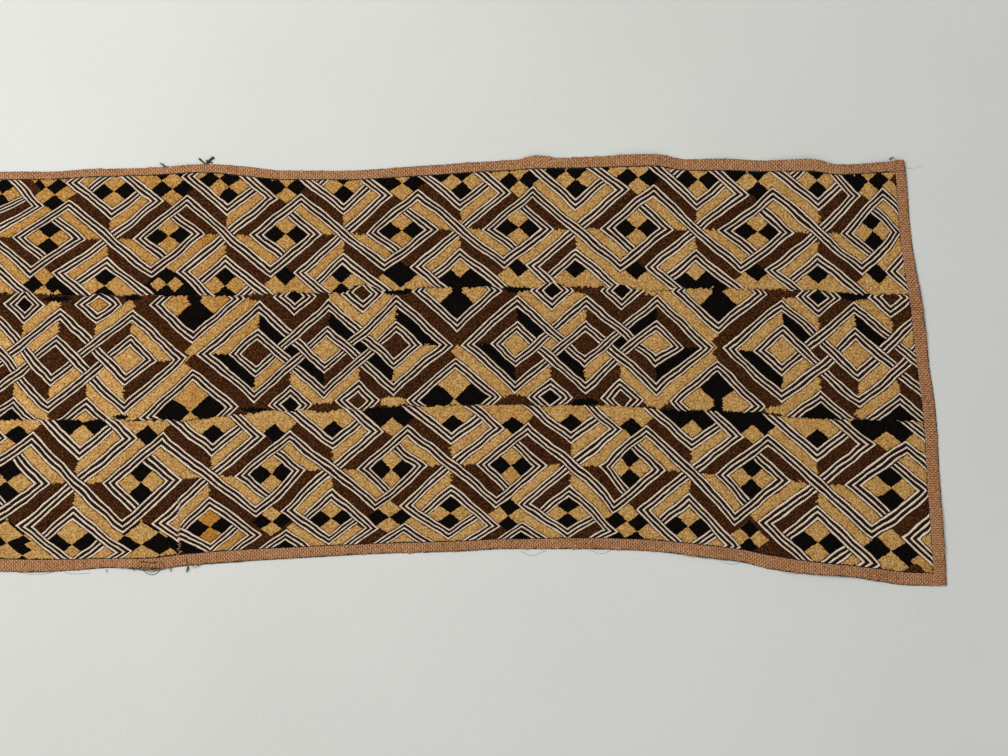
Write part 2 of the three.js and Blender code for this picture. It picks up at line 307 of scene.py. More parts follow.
LOWER_RINGS = [
    (0, (7.8, 481.8), None, (42.8, 483.2), (32.8, 438.8), None, (0.8, 437.8), (24.8, 526.8)),
    (2, (140.8, 482.8), (110.4, 483.2), (174.8, 479.4), (162.4, 439.4), (123.2, 526.8), (130.8, 438.4), (160.4, 522.8)),
    (4, (271.8, 473.8), (241.8, 475.2), (298.8, 470.2), (289.8, 436.2), (256.4, 512.2), (258.4, 436.8), (288.4, 510.8)),
    (6, (391.8, 469.4), (363.8, 468.8), (420.2, 466.2), (407.8, 430.4), (375.4, 505.4), (376.8, 431.2), (405.8, 506.2)),
    (8, (510.8, 465.4), (483.4, 464.8), (540.4, 465.8), (527.2, 428.8), (495.8, 502.8), (498.4, 427.8), (524.4, 504.4)),
    (10, (629.2, 467.4), (606.2, 466.8), (659.2, 469.8), (646.4, 430.4), (614.2, 507.4), (615.8, 429.8), (643.4, 510.2)),
    (12, (751.2, 477.8), (721.8, 474.6), (783.4, 480.2), (767.8, 439.4), (734.8, 519.2), (737.2, 436.8), (764.8, 523.4)),
    (14, (890.8, 487.8), (852.8, 485.2), (925.8, 490.8), (905.8, 446.8), (871.2, 531.4), (867.2, 444.4), (910.8, 538.8)),
]
LOWER_VEES = [(-1, -52.0, 454.0), (1, 79.4, 453.8), (3, 212.8, 450.2), (5, 332.4, 444.2), (7, 451.8, 438.8),
              (9, 570.8, 437.8), (11, 691.4, 445.4), (13, 817.4, 455.4)]
LOWER_PEAKS = [(-1, -56.0, 512.0), (1, 73.2, 512.2), (3, 210.2, 502.8), (5, 332.2, 494.8), (7, 450.8, 490.2),
               (9, 569.2, 490.4), (11, 689.2, 499.4), (13, 817.8, 512.8)]
LOWER_FEET = [(3, 210.2, 549.0), (5, 329.2, 540.0), (7, 448.4, 534.2), (9, 567.2, 533.4)]
LOWER_CORNERS = [(3, 254.8, 534.8), (5, 372.4, 527.8), (7, 493.2, 525.8), (9, 609.8, 530.6), (11, 732.8, 545.8), (13, 871.8, 563.4)]
LOWER_NEXT = [(4, 285.8, 534.2), (6, 403.8, 527.8), (8, 521.8, 526.4)]


def outer_controls(rings, vees, peaks, feet=(), corners=(), nexts=(), singles=()):
    tip, far, near = 2 * R / M, (M / 2 - R) / M, (M / 2 + R) / M
    where = [(0, 0), (-tip, 0), (tip, 0), (far, near), (-far, -near), (-far, near), (far, -near)]
    out = []
    for ring in rings:
        for (dx, dy), spot in zip(where, ring[1:]):
            if spot is not None:
                out.append((ring[0] + dx, dy, *spot))
    out += [(k, 1 - tip, x, y) for k, x, y in vees]
    out += [(k, -1 + tip, x, y) for k, x, y in peaks]
    out += [(k, -1 - tip, x, y) for k, x, y in feet]
    out += [(k + near, -1 - far, x, y) for k, x, y in corners]
    out += [(k + far, -2 + near, x, y) for k, x, y in nexts]
    out += list(singles)
    # the part past the left of the picture carries on as the first two rings do
    step = rings[1][1][0] - rings[0][1][0]
    first = [c for c in out if 1.4 < c[0] < 3.6]
    for turns in (2, 3, 4):
        out += [(a - 2 * turns, b, x - step * turns + (3 if turns % 2 else -2), y + (1 if turns % 2 else -1)) for a, b, x, y in first]
    return out


def cells_axis(low, high, period, marks, longest):
    """Cell borders along one chart axis: the marks in every period, and even cells between."""
    marks = sorted(marks)
    kept = [marks[0]]
    for m in marks[1:]:
        if m - kept[-1] > 0.45:
            kept.append(m)
    out = []
    for k in range(int(math.floor(low / period)) - 1, int(math.ceil(high / period)) + 2):
        base = [k * period + m for m in kept] + [(k + 1) * period + kept[0]]
        for a, b in zip(base[:-1], base[1:]):
            n = max(1, int(math.ceil((b - a) / longest - 1e-6)))
            out += list(np.linspace(a, b, n, endpoint=False))
    out = np.array(out)
    return out[(out >= low) & (out <= high)]


class Chart:
    """Labels on a net of small cells in diagonal coordinates, and the bands as lines."""

    def __init__(self, low, high, period, marks, longest, seed):
        self.p = cells_axis(low, high, period, marks, longest)
        self.q = self.p
        self.cp = (self.p[:-1] + self.p[1:]) / 2
        self.cq = self.cp
        self.label = np.full((len(self.cp), len(self.cq)), NONE, np.int8)
        r = np.random.default_rng(seed)
        self.rough = r.uniform(-1, 1, self.label.shape)
        self.bands = []

    def paint(self, p0, p1, q0, q1, colour, where=None):
        i0, i1 = np.searchsorted(self.cp, [min(p0, p1), max(p0, p1)])
        j0, j1 = np.searchsorted(self.cq, [min(q0, q1), max(q0, q1)])
        if i0 >= i1 or j0 >= j1:
            return
        part = self.label[i0:i1, j0:j1]
        if where is None:
            part[...] = colour
            return
        p, q = np.meshgrid(self.cp[i0:i1], self.cq[j0:j1], indexing="ij")
        on = where(p, q, self.rough[i0:i1, j0:j1])
        part[on] = colour

    def checks(self, pc, qc, side, p0, p1, q0, q1, tb, lr, only=None):
        """Alternating checkers about (pc, qc). only keeps the tb colour to one quadrant."""
        if only == "small":
            self.paint(p0, p1, q0, q1, tb)
            self.paint(pc - side, pc, qc - side, qc, lr)
            self.paint(pc, pc + side, qc, qc + side, lr)
            return
        if only == "four":
            self.paint(p0, p1, q0, q1, BROWN)
            self.paint(pc - side, pc + side, qc - side, qc + side, lr)
            self.paint(pc, pc + side, qc - side, qc, tb)
            self.paint(pc - side, pc, qc, qc + side, tb)
            return
        if only == "quarters":
            self.paint(p0, p1, q0, q1, lr)
            self.paint(pc, p1, q0, qc, tb)
            self.paint(p0, pc, qc, q1, tb)
            return
        self.paint(p0, p1, q0, q1, lr)
        if only == "lower":
            self.paint(pc - side, pc, qc, qc + side, tb)
        elif only == "upper":
            self.paint(pc, pc + side, qc - side, qc, tb)
        else:
            self.paint(p0, p1, q0, q1, tb,
                       lambda p, q, n: (np.floor((p - pc) / side) + np.floor((q - qc) / side)) % 2 != 0)

    def band(self, *points):
        self.bands.append([np.array(c, float) for c in points])

    def paint_bands(self):
        h = HALF_BAND
        for line in self.bands:
            for i, (a, b) in enumerate(zip(line[:-1], line[1:])):
                grow_a = h if i > 0 else 0.0
                grow_b = h if i < len(line) - 2 else 0.0
                d = (b - a) / np.abs(b - a).sum()
                s, e = a - d * grow_a, b + d * grow_b
                side = np.array([abs(d[1]), abs(d[0])]) * h
                low, high = np.minimum(s, e) - side, np.maximum(s, e) + side
                self.paint(low[0], high[0], low[1], high[1], BAND)


g_, n_, k_ = GOLD, BROWN, BLACK
# Colours ring by ring. core: upper and lower checkers, then left and right ones. Then the bars
# round the ring: upper right, lower left, upper left, lower right.
UPPER_RING_COLOURS = {
    -6: (k_, g_, g_, g_, n_, n_), -4: (g_, k_, g_, g_, n_, n_), -2: (g_, k_, n_, g_, n_, g_),
    0: (k_, g_, g_, n_, g_, n_), 2: (g_, k_, n_, g_, n_, g_), 4: (g_, k_, g_, g_, n_, n_),
    6: (g_, k_, g_, g_, n_, n_), 8: (g_, k_, n_, g_, n_, g_), 10: (g_, k_, g_, g_, n_, n_),
    12: (g_, k_, g_, g_, n_, n_), 14: (k_, g_, g_, g_, n_, g_), 16: (g_, k_, g_, g_, n_, n_),
}
# Rings of the row above: core upper and lower, core sides, lower left, lower right, upper right.
UPPER_HIGH = {
    -7: (g_, k_, n_, g_, k_), -5: (k_, g_, n_, g_, g_), -3: (g_, k_, n_, g_, k_),
    -1: (k_, g_, n_, n_, n_), 1: (g_, k_, n_, g_, g_), 3: (k_, g_, n_, g_, k_), 5: (k_, g_, n_, g_, k_),
    7: (k_, g_, n_, g_, g_), 9: (k_, g_, g_, g_, g_), 11: (g_, k_, n_, g_, k_), 13: (k_, g_, g_, n_, k_),
    15: (g_, k_, g_, g_, g_),
}
# Rings of the row below: core upper and lower, core sides, upper left, upper right, lower right, lower left.
UPPER_LOW = {
    -7: (k_, g_, g_, n_, g_, g_), -5: (g_, k_, g_, n_, g_, g_), -3: (k_, g_, g_, n_, g_, g_),
    -1: (k_, g_, g_, g_, g_, g_), 1: (k_, g_, g_, n_, g_, k_), 3: (k_, g_, g_, n_, g_, k_), 5: (k_, g_, g_, n_, g_, g_),
    7: (g_, k_, g_, n_, k_, g_), 9: (k_, g_, n_, g_, g_, g_), 11: (g_, k_, g_, n_, k_, g_), 13: (k_, g_, g_, n_, g_, g_),
    15: (k_, g_, g_, n_, g_, g_),
}
# Clusters: upper and lower checkers, side ones.
UPPER_TOP_CLUSTERS = {-6: (g_, k_), -4: (k_, g_), -2: (g_, k_), 0: (k_, g_), 2: (g_, k_), 4: (g_, k_), 6: (g_, k_),
                      8: (g_, k_), 10: (g_, k_), 12: (k_, g_), 14: (g_, k_), 16: (g_, k_)}
UPPER_LOW_CLUSTERS = {-6: (k_, g_), -4: (g_, k_), -2: (k_, g_), 0: (g_, k_), 2: (k_, g_), 4: (k_, g_), 6: (k_, g_),
                      8: (k_, g_), 10: (k_, g_), 12: (k_, g_), 14: (k_, g_), 16: (k_, g_)}

LOWER_RING_COLOURS = {
    -6: (g_, k_, g_, g_, n_, n_), -4: (k_, g_, g_, n_, g_, n_), -2: (g_, k_, g_, g_, n_, n_),
    0: (k_, g_, g_, n_, g_, n_), 2: (k_, g_, g_, n_, g_, n_), 4: (g_, k_, g_, g_, n_, n_),
    6: (g_, k_, g_, g_, n_, n_), 8: (g_, k_, n_, n_, g_, g_), 10: (k_, g_, g_, n_, g_, n_),
    12: (k_, g_, n_, g_, n_, g_), 14: (k_, g_, g_, g_, n_, n_), 16: (g_, k_, g_, g_, n_, n_),
}
LOWER_HIGH = {
    -7: (k_, g_, n_, g_, n_), -5: (g_, k_, n_, g_, n_), -3: (k_, g_, n_, g_, n_), -1: (k_, g_, n_, g_, n_),
    1: (g_, k_, n_, g_, g_), 3: (k_, g_, n_, g_, g_), 5: (k_, g_, n_, g_, k_), 7: (k_, g_, n_, g_, g_),
    9: (k_, g_, n_, g_, g_), 11: (g_, k_, n_, g_, k_), 13: (k_, g_, g_, n_, k_), 15: (k_, g_, g_, g_, k_),
}
LOWER_LOW = {
    -7: (g_, k_, g_, n_, g_, g_), -5: (k_, g_, n_, g_, g_, g_), -3: (g_, k_, g_, n_, n_, g_),
    -1: (k_, g_, g_, n_, g_, g_), 1: (g_, k_, n_, g_, g_, g_), 3: (g_, k_, g_, n_, g_, k_),
    5: (g_, k_, g_, n_, g_, g_), 7: (k_, g_, g_, n_, g_, g_), 9: (k_, g_, n_, g_, n_, g_),
    11: (g_, k_, g_, n_, g_, g_), 13: (g_, k_, n_, g_, g_, n_), 15: (k_, g_, g_, n_, g_, g_),
}
LOWER_TOP_CLUSTERS = {-6: (k_, g_), -4: (g_, k_), -2: (k_, g_), 0: (k_, g_), 2: (k_, g_), 4: (k_, g_), 6: (g_, k_),
                      8: (k_, g_), 10: (k_, g_), 12: (g_, k_), 14: (g_, k_), 16: (k_, g_)}
LOWER_LOW_CLUSTERS = {-6: (g_, k_), -4: (k_, g_), -2: (g_, k_), 0: (g_, k_), 2: (g_, k_), 4: (g_, k_), 6: (g_, k_),
                      8: (k_, g_), 10: (g_, k_), 12: (k_, g_), 14: (g_, k_), 16: (g_, k_)}


def outer_chart(rings, high, low, tops, feet, seed, top_only, foot_only, next_rows=(), sides=None, drops=None,
                open_tops=(), open_feet=None, skip=(), patches=()):
    marks = [-B0, -CORE, 0, CORE, B0, B1, M / 2, M / 2 + HALF_BAND, M - B0 - 0.001]
    chart = Chart(-190, 360, M, [m % M for m in marks], 1.0, seed)
    chart.label[...] = BROWN
    t = R - HALF_BAND - 0.1  # where a band stops against the side of another
    for k, (tb, lr) in tops.items():
        c = k / 2 * M
        chart.checks(c + M / 2, c - M / 2, CHECK, c + B0, c + M, c - M, c - B0, tb, lr, top_only(k))
    sides, drops, open_feet = sides or {}, drops or {}, open_feet or {}
    for k, (tb, lr) in feet.items():
        c = k / 2 * M
        d = drops.get(k, 0.0)
        chart.checks(c - M / 2 - d, c + M / 2 + d, sides.get(k, CHECK), c - M, c - B0, c + B0, c + M, tb, lr, foot_only(k))
    for k, (tb, lr, ll, lrr, ur) in high.items():  # the row above
        a, b = (k + 1) / 2 * M, (k - 1) / 2 * M
        chart.paint(a + B0, a + B1, b - B1, b + B0, ur)
        chart.paint(a - CORE, a + B1, b - B1, b - B0, g_)
        chart.paint(a - B1, a - B0, b - B0, b + B1, ll)
        chart.paint(a - B1, a + CORE, b + B0, b + B1, lrr,
                    lambda p, q, n: (p - a) + (q - b) + 0.9 * n > 0)
        if k in open_tops:  # this ring has no upper left side: its checkers run on to the edge
            chart.checks(a, b, CORE, a - CORE, a + B1 + 4, b - B1 - 6, b + CORE, tb, lr, "lower" if top_only(0) else None)
        else:
            chart.checks(a, b, CORE, a - CORE, a + CORE, b - CORE, b + CORE, tb, lr, "lower" if top_only(0) else None)
    for k, (tb, lr, ul, ur, lrr, ll) in low.items():  # the row below
        a, b = (k - 1) / 2 * M, (k + 1) / 2 * M
        chart.paint(a - B1, a - B0, b - B0, b + B1, ll)
        chart.paint(a - B1, a + CORE, b + B0, b + B1, lrr,
                    lambda p, q, n: (p - a) + (q - b) + 0.9 * n > 0)
        chart.paint(a + B0, a + B1, b - B1, b + B0, ur)
        chart.paint(a - CORE, a + B1, b - B1, b - B0, ul,
                    lambda p, q, n: (p - a) + (q - b) + 0.9 * n < 0)
        d = drops.get(k, 0.0)
        if k in open_feet:  # this ring has no lower right side
            chart.paint(a - CORE, a + CORE, b - CORE, b + B1 + 8, lr)
            chart.paint(a, a + CORE, b - CORE, b, tb)
            chart.paint(a - CORE, a, b, b + B1 + 8, open_feet[k])
        else:
            chart.checks(a - d, b + d, CORE, a - CORE, a + CORE, b - CORE, b + CORE, tb, lr, "quarters" if d else None)
    for k, (tb, lr, ur, ll, ul, lrr) in rings.items():  # the middle row
        c = k / 2 * M
        chart.paint(c + B0, c + B1, c - CORE, c + B1, ur)
        chart.paint(c - B0, c + B1, c + B0, c + B1, lrr,
                    lambda p, q, n: (p - q) + 0.9 * n < 0)
        chart.paint(c - B1, c - B0, c - B1, c + CORE, ll)
        chart.paint(c - B1, c + B0, c - B1, c - B0, ul,
                    lambda p, q, n: (p - q) + 0.9 * n > 0)
        chart.checks(c, c, CORE, c - CORE, c + CORE, c - CORE, c + CORE, tb, lr)
    for k in rings:
        c = k / 2 * M
        chart.band((c - R, c + t), (c - R, c - R), (c + M / 2, c - R), (c + M / 2, c + M + R),
                   (c + M + R, c + M + R), (c + M + R, c + M - t))
    for k in list(high) + list(low):
        e = 1 if k in high and True else -1
        rows = [1] if k in high else []
        if k in low:
            rows.append(-1)
        for e in rows:
            a, b = (k + e) / 2 * M, (k - e) / 2 * M
            f = M / 2 - HALF_BAND - 0.1
            if e == 1 and k in skip:
                continue
            if e == -1 and k in open_feet:
                chart.band((a - R, b + B1 + 9), (a - R, b - M / 2), (a + f, b - M / 2))
            else:
                chart.band((a + t, b + R), (a - R, b + R), (a - R, b - M / 2), (a + f, b - M / 2))
            if e == 1 and k in open_tops:
                chart.band((a + R, b - B1 - 9), (a + R, b + M / 2), (a - f, b + M / 2))
            else:
                chart.band((a - t, b - R), (a + R, b - R), (a + R, b + M / 2), (a - f, b + M / 2))
    for k, p0, p1, q0, q1, colour in patches:
        c = k / 2 * M
        chart.paint(c + p0, c + p1, c + q0, c + q1, colour)
    for k, inner, left_bar, right_bar in next_rows:  # the tips of a further row, cut by the edge
        a, b = (k - 2) / 2 * M, (k + 2) / 2 * M
        chart.checks(a, b, CORE, a - B0, a + B1, b - R, b + B1, inner, inner)
        chart.paint(a - B1, a + B0, b - B1, b - B0, left_bar)
        chart.paint(a + M / 2 + HALF_BAND, a + M - B0, b - B0, b + M / 2, right_bar)
        chart.band((a - R, b + M), (a - R, b - R), (a + M / 2, b - R), (a + M / 2, b + M))
    chart.paint_bands()
    return chart


# ------------------------------------------------------------------ the middle panel's chart
S = 91.6  # a repeat along the middle panel
XC = 45.8  # from the middle diamond to the crossing
W1, W2 = 2.87, 2.487  # picture units in one chart unit, along and across

# Places by group: for each diamond (left, middle, right) the outer apex, outer foot, ring apex,
# ring foot; then single places.
MIDDLE_PLACES = {
    0: [(0, 17.8, 60.8, 314.4), (0, -17.8, 48.4, 407.4), (0, 7.4, 57.2, 339.8), (0, -7.4, 50.8, 380.8),
        (24.4, 17.8, 133.2, 315.2), (24.4, -17.8, 123.8, 408.8), (24.4, 7.4, 130.8, 339.8), (24.4, -7.4, 125.8, 379.8),
        (42.2, 0, 179.8, 359.8), (31.8, 0, 151.8, 359.8), (-12.2, 16, 25.2, 317.8), (-17.6, 21.4, 11.0, 304.8),
        (-6.8, 21.4, 38.8, 304.8), (12.2, 16, 97.2, 318.4), (6.8, 21.4, 80.8, 304.8), (17.6, 21.4, 116.8, 304.8),
        (-12.2, -16, 12.8, 402.8), (12.2, -16, 86.8, 403.8), (XC, 7.3, 193.2, 337.8), (XC, -7.3, 192.8, 374.8),
        (XC - 14, 21.3, 156.0, 304.8), (XC, 0, 191.8, 355.8)],
    1: [(-24.4, 17.8, 259.8, 306.8), (-24.4, -17.8, 254.4, 396.4), (-24.4, 7.4, 257.2, 334.4), (-24.4, -7.4, 256.2, 371.8),
        (-42.2, 0, 203.8, 354.4), (-31.8, 0, 234.8, 353.8), (-12.2, 16, 294.8, 310.2), (-17.6, 21.4, 279.8, 296.8),
        (-12.2, -16, 290.4, 389.8), (-17.6, -21.4, 274.4, 405.8), (-6.8, -21.4, 306.8, 404.8),
        (0, 17.8, 328.8, 305.4), (0, -17.8, 324.2, 393.2), (0, 7.4, 327.4, 331.2), (0, -7.4, 324.8, 367.8),
        (12.2, 16, 363.4, 307.8), (6.8, 21.4, 346.8, 293.2), (17.6, 21.4, 377.2, 293.2), (12.2, -16, 358.8, 385.8),
        (6.8, -21.4, 341.2, 399.8), (17.6, -21.4, 373.8, 401.2), (24.4, 17.8, 396.4, 301.2), (24.4, -17.8, 393.2, 389.8),
        (42.2, 0, 446.8, 344.8), (24.4, 7.4, 396.8, 326.8), (24.4, -7.4, 393.8, 363.8), (31.8, 0, 415.8, 345.2),
        (XC, 7.3, 456.4, 325.8), (XC, -7.3, 455.8, 362.8), (XC, 0, 456.4, 346.8), (XC - 14, 21.3, 418.4, 291.2),
        (XC + 14, 21.3, 495.8, 290.4), (XC - 14, -21.3, 412.8, 400.4), (XC + 14, -21.3, 495.8, 397.2)],
    2: [(-24.4, 17.8, 517.2, 300.8), (-24.4, -17.8, 515.2, 387.8), (-42.2, 0, 467.8, 344.8), (-24.4, 7.4, 516.4, 326.4),
        (-24.4, -7.4, 515.4, 362.4), (-31.8, 0, 496.8, 343.8), (-12.2, 16, 551.8, 304.4), (-17.6, 21.4, 536.8, 290.8),
        (-6.8, 21.4, 567.8, 290.8), (-12.2, -16, 550.8, 383.8), (-17.6, -21.4, 532.8, 397.2), (-6.8, -21.4, 567.2, 397.2),
        (0, 17.8, 586.4, 300.8), (0, -17.8, 584.8, 388.2), (0, 7.4, 585.8, 326.2), (0, -7.4, 584.8, 361.8),
        (12.2, 16, 621.8, 304.8), (17.6, 21.4, 637.8, 290.4), (6.8, 21.4, 606.8, 290.8), (12.2, -16, 620.2, 384.2),
        (6.8, -21.4, 606.8, 398.8), (17.6, -21.4, 637.8, 399.2), (24.4, 17.8, 658.2, 300.4), (24.4, -17.8, 656.2, 390.4),
        (42.2, 0, 707.2, 348.2), (24.4, 7.4, 656.2, 325.4), (24.4, -7.4, 655.8, 360.8), (31.8, 0, 677.8, 347.2),
        (XC, 7.3, 717.8, 327.8), (XC, -7.3, 717.4, 365.8), (XC, 0, 717.8, 346.8), (XC - 14, 21.3, 677.2, 291.2),
        (XC + 14, 21.3, 760.8, 293.8), (XC - 14, -21.3, 675.2, 401.2), (XC + 14, -21.3, 758.8, 406.4)],
    3: [(-24.4, 17.8, 781.8, 305.8), (-24.4, -17.8, 781.2, 396.8), (-42.2, 0, 729.8, 348.8), (-24.4, 7.4, 782.2, 329.2),
        (-24.4, -7.4, 781.8, 369.8), (-31.8, 0, 759.2, 351.2), (-12.2, 16, 818.4, 311.4), (-17.6, 21.4, 801.8, 296.8),
        (-6.8, 21.4, 834.8, 297.8), (-12.2, -16, 820.4, 396.8), (0, 17.8, 853.2, 307.8), (0, -17.8, 858.8, 401.8),
        (0, 7.4, 855.4, 333.2), (0, -7.4, 857.8, 376.4), (12.2, 16, 890.8, 311.8), (6.8, 21.4, 874.4, 297.2),
        (12.2, -16, 899.8, 399.2)],
}
# Colours by group. Diamonds left, middle, right: core, upper left, upper right, lower left, lower
# right. squares: left, right. vee: left arm and right arm of the two above. peak: of the two below.
# small: the half diamonds' cores above, then below. cross: the arms upper left, upper right, lower
# left, lower right. big: upper cluster's own colour and its sides, then the lower one's.
MIDDLE_COLOURS = {
    -1: dict(d=[(g_, g_, k_, k_, n_), (n_, n_, g_, g_, n_), (g_, g_, n_, k_, g_)], squares=(n_, k_),
             vee=[(n_, g_), (n_, g_)], peak=[(n_, g_), (n_, g_)], small=[k_, g_, k_, n_],
             cross=(n_, g_, g_, n_), big=[(k_, g_), (g_, k_)]),
    0: dict(d=[(n_, n_, g_, g_, n_), (n_, g_, n_, n_, g_), (g_, n_, g_, g_, n_)], squares=(g_, n_),
            vee=[(n_, g_), (n_, g_)], peak=[(n_, g_), (n_, g_)], small=[k_, g_, k_, g_],
            cross=(n_, g_, g_, n_), big=[(k_, g_), (g_, k_)]),
    1: dict(d=[(n_, g_, k_, k_, g_), (g_, n_, k_, k_, n_), (n_, g_, k_, k_, g_)], squares=(k_, k_),
            vee=[(n_, n_), (g_, g_)], peak=[(n_, g_), (g_, n_)], small=[k_, n_, k_, n_],
            cross=(n_, n_, n_, g_), big=[(k_, g_), (g_, k_)]),
    2: dict(d=[(g_, n_, k_, k_, n_), (n_, g_, n_, k_, g_), (g_, k_, n_, n_, k_)], squares=(g_, k_),
            vee=[(g_, g_), (n_, n_)], peak=[(g_, n_), (n_, g_)], small=[k_, k_, k_, n_],
            cross=(g_, n_, g_, n_), big=[(k_, g_), (k_, g_)]),
    3: dict(d=[(g_, g_, k_, k_, g_), (g_, g_, k_, n_, g_), (g_, g_, n_, n_, g_)], squares=(n_, n_),
            vee=[(g_, n_), (g_, n_)], peak=[(g_, n_), (g_, n_)], small=[k_, n_, k_, k_],
            cross=(n_, g_, g_, n_), big=[(k_, g_), (g_, k_)]),
}
# Half diamonds below that are cut before they close: group, which, half size.
OTHER_WAY = {2}  # the group whose diamonds pass over and under the other way
WIDE_SMALL = {(0, 2): 9.0, (0, 3): 9.0, (3, 2): 9.6, (3, 3): 9.6, (-1, 2): 8.0, (-1, 3): 8.0}


def middle_controls():
    out = []
    for g, rows in MIDDLE_PLACES.items():
        out += [(g * S + s, e, x, y) for s, e, x, y in rows]
    for s, e, x, y in MIDDLE_PLACES[1]:  # past the left of the picture
        out.append((-S + s, e, x - 546.0 if s < 40 else x - 536.0, y + 7.0))
    return out


def middle_chart():
    h = HALF_BAND
    lines = [42.2, 6.6, 17.8, 17.0, 31.8, 7.4, 3.8, 14.6, 28.2, 39.0, 38.5]
    marks = []
    for v in lines:
        for sign in (1, -1):
            marks += [(sign * v - h) % S, (sign * v + h) % S]
    chart = Chart(-190, 390, S, marks, 1.0, 77)
    chart.label[...] = BROWN
    for g, c in MIDDLE_COLOURS.items():
        o = g * S
        x = o + XC
        px = x - S  # the crossing before
        before = MIDDLE_COLOURS.get(g - 1, MIDDLE_COLOURS[0])["cross"]
        ul, ur, ll, lr = c["cross"]
        d1, d2, d3 = o - 24.4, o, o + 24.4

        def half(a, b, low, high):
            """The part between two places along, with a ragged meeting."""
            return lambda p, q, n: ((p + q) / 2 + 0.45 * n > low) & ((p + q) / 2 + 0.45 * n < high)

        # arms of the crossings
        chart.paint(x - 1.1, x + 4.8, x - 60, x, ul, half(0, 0, d3, x + 9))
        chart.paint(x - 60, x, x - 1.1, x + 4.8, ll, half(0, 0, d3, x + 9))
        chart.paint(px, px + 60, px - 4.8, px + 1.1, before[1], half(0, 0, px - 9, d1))
        chart.paint(px - 4.8, px + 1.1, px, px + 60, before[3], half(0, 0, px - 9, d1))
        # arms of the small vees and peaks
        for (cp, cq), (la, ra), (low, mid_s, high) in (
            ((o - 4.1, o - 20.3), c["vee"][0], (d1, o - 12.2, d2)),
            ((o + 20.3, o + 4.1), c["vee"][1], (d2, o + 12.2, d3)),
        ):
            chart.paint(cp, cp + 5.4, cq - 34, cq, la, half(0, 0, low, mid_s))
            chart.paint(cp, cp + 34, cq - 5.4, cq, ra, half(0, 0, mid_s, high))
        for (cp, cq), (la, ra), (low, mid_s, high) in (
            ((o - 20.3, o - 4.1), c["peak"][0], (d1, o - 12.2, d2)),
            ((o + 4.1, o + 20.3), c["peak"][1], (d2, o + 12.2, d3)),
        ):
            chart.paint(cp - 34, cp, cq, cq + 5.4, la, half(0, 0, low, mid_s))
            chart.paint(cp - 5.4, cp, cq, cq + 34, ra, half(0, 0, mid_s, high))
        # bars inside the diamonds
        mirror = g in OTHER_WAY
        dc = [tuple(d) for d in c["d"]]
        sq = c["squares"]
        if mirror:
            dc = [(d[0], d[2], d[1], d[4], d[3]) for d in dc[::-1]]
            sq = sq[::-1]
        (c1, a1, b1, e1, f1), (c2, a2, b2, e2, f2), (c3, a3, b3, e3, f3) = dc

        def rect(p0, p1, q0, q1, colour, where=None):
            """A rectangle about the group's middle, turned over where the group is."""
            if not mirror:
                chart.paint(o + p0, o + p1, o + q0, o + q1, colour,
                            where and (lambda p, q, n: where(p - o, q - o, n)))
            else:
                chart.paint(o - q1, o - q0, o - p1, o - p0, colour,
                            where and (lambda p, q, n: where(o - q, o - p, n)))

        right_of = lambda s: (lambda p, q, n: (p + q) / 2 + 0.45 * n > s)
        rect(-39.7, -9.1, -39.7, -34.3, a1)
        rect(-14.5, -9.1, -39.7, -20.3, b1, right_of(-24.4))
        rect(-39.7, -34.3, -39.7, -9.1, e1, lambda p, q, n: (p - q) + 0.9 * n < 0)
        rect(-39.7, -19.5, -14.5, -9.1, f1, right_of(-24.4))
        rect(-4.9, 15.3, -15.3, -9.9, a2)
        rect(9.9, 15.3, -15.3, 4.1, b2, right_of(0))
        rect(-15.3, -9.9, -4.1, 15.3, e2)
        rect(-15.3, 4.9, 9.9, 15.3, f2, right_of(0))
        rect(19.5, 39.7, 9.1, 14.5, a3)
        rect(34.3, 39.7, 9.1, 39.7, b3, right_of(24.4))
        rect(9.1, 14.5, 20.3, 39.7, e3)
        rect(9.1, 39.7, 34.3, 39.7, f3, lambda p, q, n: ((p + q) / 2 + 0.45 * n > 24.4) & ((p - q) + 0.9 * n < 0))
        rect(-14.5, -9.9, -15.3, -9.1, sq[0])
        rect(9.9, 14.5, 9.1, 15.3, sq[1])
        c1, c2, c3 = (d[0] for d in c["d"])
        for s, colour in ((d1, c1), (d2, c2), (d3, c3)):
            chart.paint(s - 4.7, s + 4.7, s - 4.7, s + 4.7, colour)
        # clusters at the crossings, cut by the seams
        (btb, blr), (ltb, llr) = c["big"]
        chart.checks(x + 21.9, x - 21.9, 11.6, x + 10.1, x + 33.5, x - 33.5, x - 10.1, btb, blr)
        chart.checks(x - 21.3, x + 21.3, 11.2, x - 32.5, x - 10.1, x + 10.1, x + 32.5, ltb, llr)
        big = 28.0
        chart.band((x + 7.3 + big, x - 7.3 - big), (x + 7.3, x - 7.3 - big), (x + 7.3, x - 7.3),
                   (x + 7.3 + big, x - 7.3), (x + 7.3 + big, x - 7.3 - big))
        chart.band((x - 7.3 - big, x + 7.3 + big), (x - 7.3, x + 7.3 + big), (x - 7.3, x + 7.3),
                   (x - 7.3 - big, x + 7.3), (x - 7.3 - big, x + 7.3 + big))
        # half diamonds on the seams
        for i, (sp, sq, up) in enumerate(((9.2, -33.6, 1), (33.6, -9.2, 1), (-33.6, 9.2, -1), (-9.2, 33.6, -1))):
            r = WIDE_SMALL.get((g, i), 5.4)
            sp, sq = sp + up * (r - 5.4), sq - up * (r - 5.4)
            cp, cq = o + sp, o + sq
            chart.paint(cp - r, cp + r, cq - r, cq + r, c["small"][i])
            chart.band((cp + up * r, cq - up * r), (cp - up * r, cq - up * r), (cp - up * r, cq + up * r),
                       (cp + up * r, cq + up * r), (cp + up * r, cq - up * r))
        # the interlaced diamonds
        for sign in (1, -1):
            def at(*pts):
                pts = [(sign * a, sign * b) for a, b in pts]
                if mirror:
                    pts = [(-b, -a) for a, b in pts]
                chart.band(*[(o + a, o + b) for a, b in pts])

